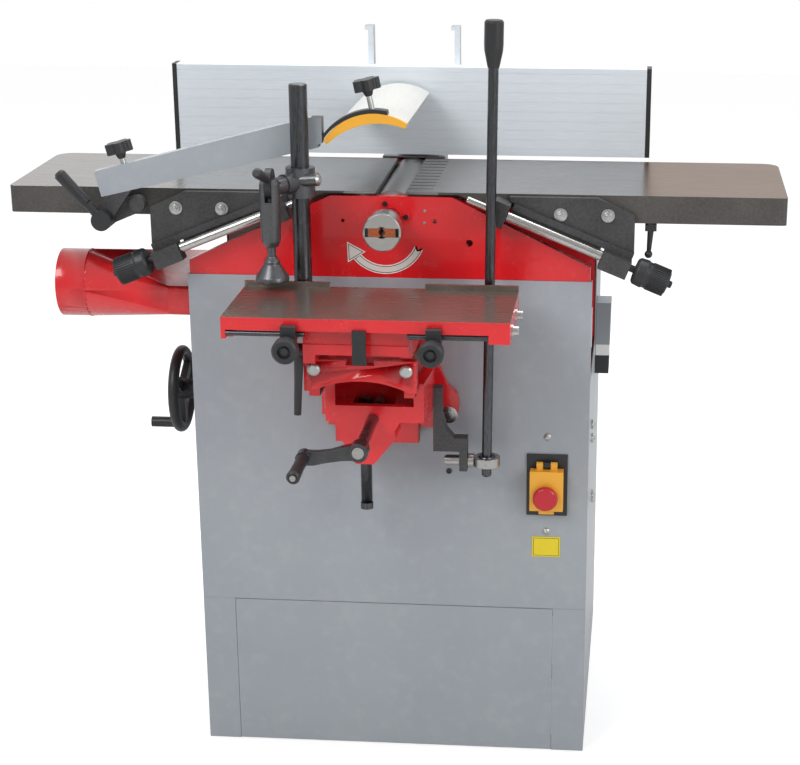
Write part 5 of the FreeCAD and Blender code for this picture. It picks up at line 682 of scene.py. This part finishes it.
# Hold-down: a blackened steel post with a swivelling knuckle, a fork, a cam lever and a cone foot.
# The castings are dark iron with a worn gloss.
worn_iron = ground("worn_iron", "77787B", "515255", 0.26, (20, 20, 20), 60.0, 0.8)
dress("holddown_post", "holddown_column", dark_steel, 0.0004)
dress("clamp_knuckle", "holddown_knuckle",
      [(worn_iron, None), (steel, lambda p: p.x > -0.092)], 0.0008)
dress("clamp_fork", "holddown_fork", worn_iron, 0.0008)
dress("cam_lever", "holddown_cam", black, 0.0006)
dress("clamp_foot", "holddown_foot", worn_iron, 0.0008)

# Control lever of the mortising table: a long steel rod in a ball joint, through the table's lug.
# Its grip is black plastic.
dress("rod_end", "rod_end_joint", steel, 0.0012)
dress("control_lever", "control_lever_rod",
      [(dark_steel, None), (black, lambda p: p.z > 1.0270)], 0.0006)

# Camera at the photograph's place, and plain soft light from above and both sides.
# The floor and the world show white to the camera, and the floor keeps the shadow.
camera_data = bpy.data.cameras.new("camera")
camera_data.sensor_width = 36.0
camera_data.lens = 89.12
camera_data.shift_x = -0.0913
camera_data.shift_y = 0.124
camera = bpy.data.objects.new("camera", camera_data)
camera.location = (0.3541, -2.9684, 1.3937)
camera.rotation_euler = (math.pi / 2 - 0.3431, 0.0, 0.0869)
bpy.context.scene.collection.objects.link(camera)
bpy.context.scene.camera = camera
bpy.context.scene.view_settings.view_transform = "Standard"


def lamp(name, place, aim, size, power):
    data = bpy.data.lights.new(name, "AREA")
    data.shape = "RECTANGLE"
    data.size, data.size_y = size
    data.energy = power
    made = bpy.data.objects.new(name, data)
    made.location = place
    made.rotation_euler = (Vector(aim) - Vector(place)).to_track_quat("-Z", "Y").to_euler()
    bpy.context.scene.collection.objects.link(made)


lamp("key_light", (-1.6, -2.6, 2.9), (0, 0, 0.6), (1.8, 1.4), 62)
lamp("fill_light", (2.4, -2.2, 1.8), (0, 0, 0.6), (1.6, 1.6), 34)
lamp("top_light", (0.2, 0.5, 3.2), (0, 0, 0.7), (2.4, 1.6), 48)

world = bpy.data.worlds.new("studio")
bpy.context.scene.world = world
world.use_nodes = True
sky = world.node_tree
background = sky.nodes["Background"]
path = sky.nodes.new("ShaderNodeLightPath")
seen = sky.nodes.new("ShaderNodeMath")
seen.operation = "MAXIMUM"
sky.links.new(path.outputs["Is Camera Ray"], seen.inputs[0])
sky.links.new(path.outputs["Is Transmission Ray"], seen.inputs[1])
direction = sky.nodes.new("ShaderNodeTexCoord")
split = sky.nodes.new("ShaderNodeSeparateXYZ")
sky.links.new(direction.outputs["Generated"], split.inputs[0])
ramp = sky.nodes.new("ShaderNodeMapRange")
ramp.inputs["From Min"].default_value = -0.7
ramp.inputs["From Max"].default_value = 0.5
ramp.inputs["To Min"].default_value = 0.42
ramp.inputs["To Max"].default_value = 0.95
sky.links.new(split.outputs["Y"], ramp.inputs["Value"])
level = sky.nodes.new("ShaderNodeMath")
level.operation = "MAXIMUM"
sky.links.new(ramp.outputs["Result"], level.inputs[0])
sky.links.new(seen.outputs[0], level.inputs[1])
sky.links.new(level.outputs[0], background.inputs["Strength"])
background.inputs["Color"].default_value = (1, 1, 1, 1)

clear_all()
bpy.ops.mesh.primitive_plane_add(size=14.0, location=(0, 0, -0.0005))
bpy.ops.object.transform_apply(location=True)
floor = bpy.context.active_object
floor.name = "floor"
bare = Finish("floor_paper")
seen_ray = bare.node("ShaderNodeLightPath", {}, {}, 0)
glow = bare.mix(seen_ray, (0.0, 0.0, 0.0, 1), (0.5, 0.5, 0.5, 1))
bare.done(Base_Color=(0.62, 0.62, 0.62, 1), Roughness=0.9, Emission_Color=glow, Emission_Strength=1.0)
floor.data.materials.append(bare.material)
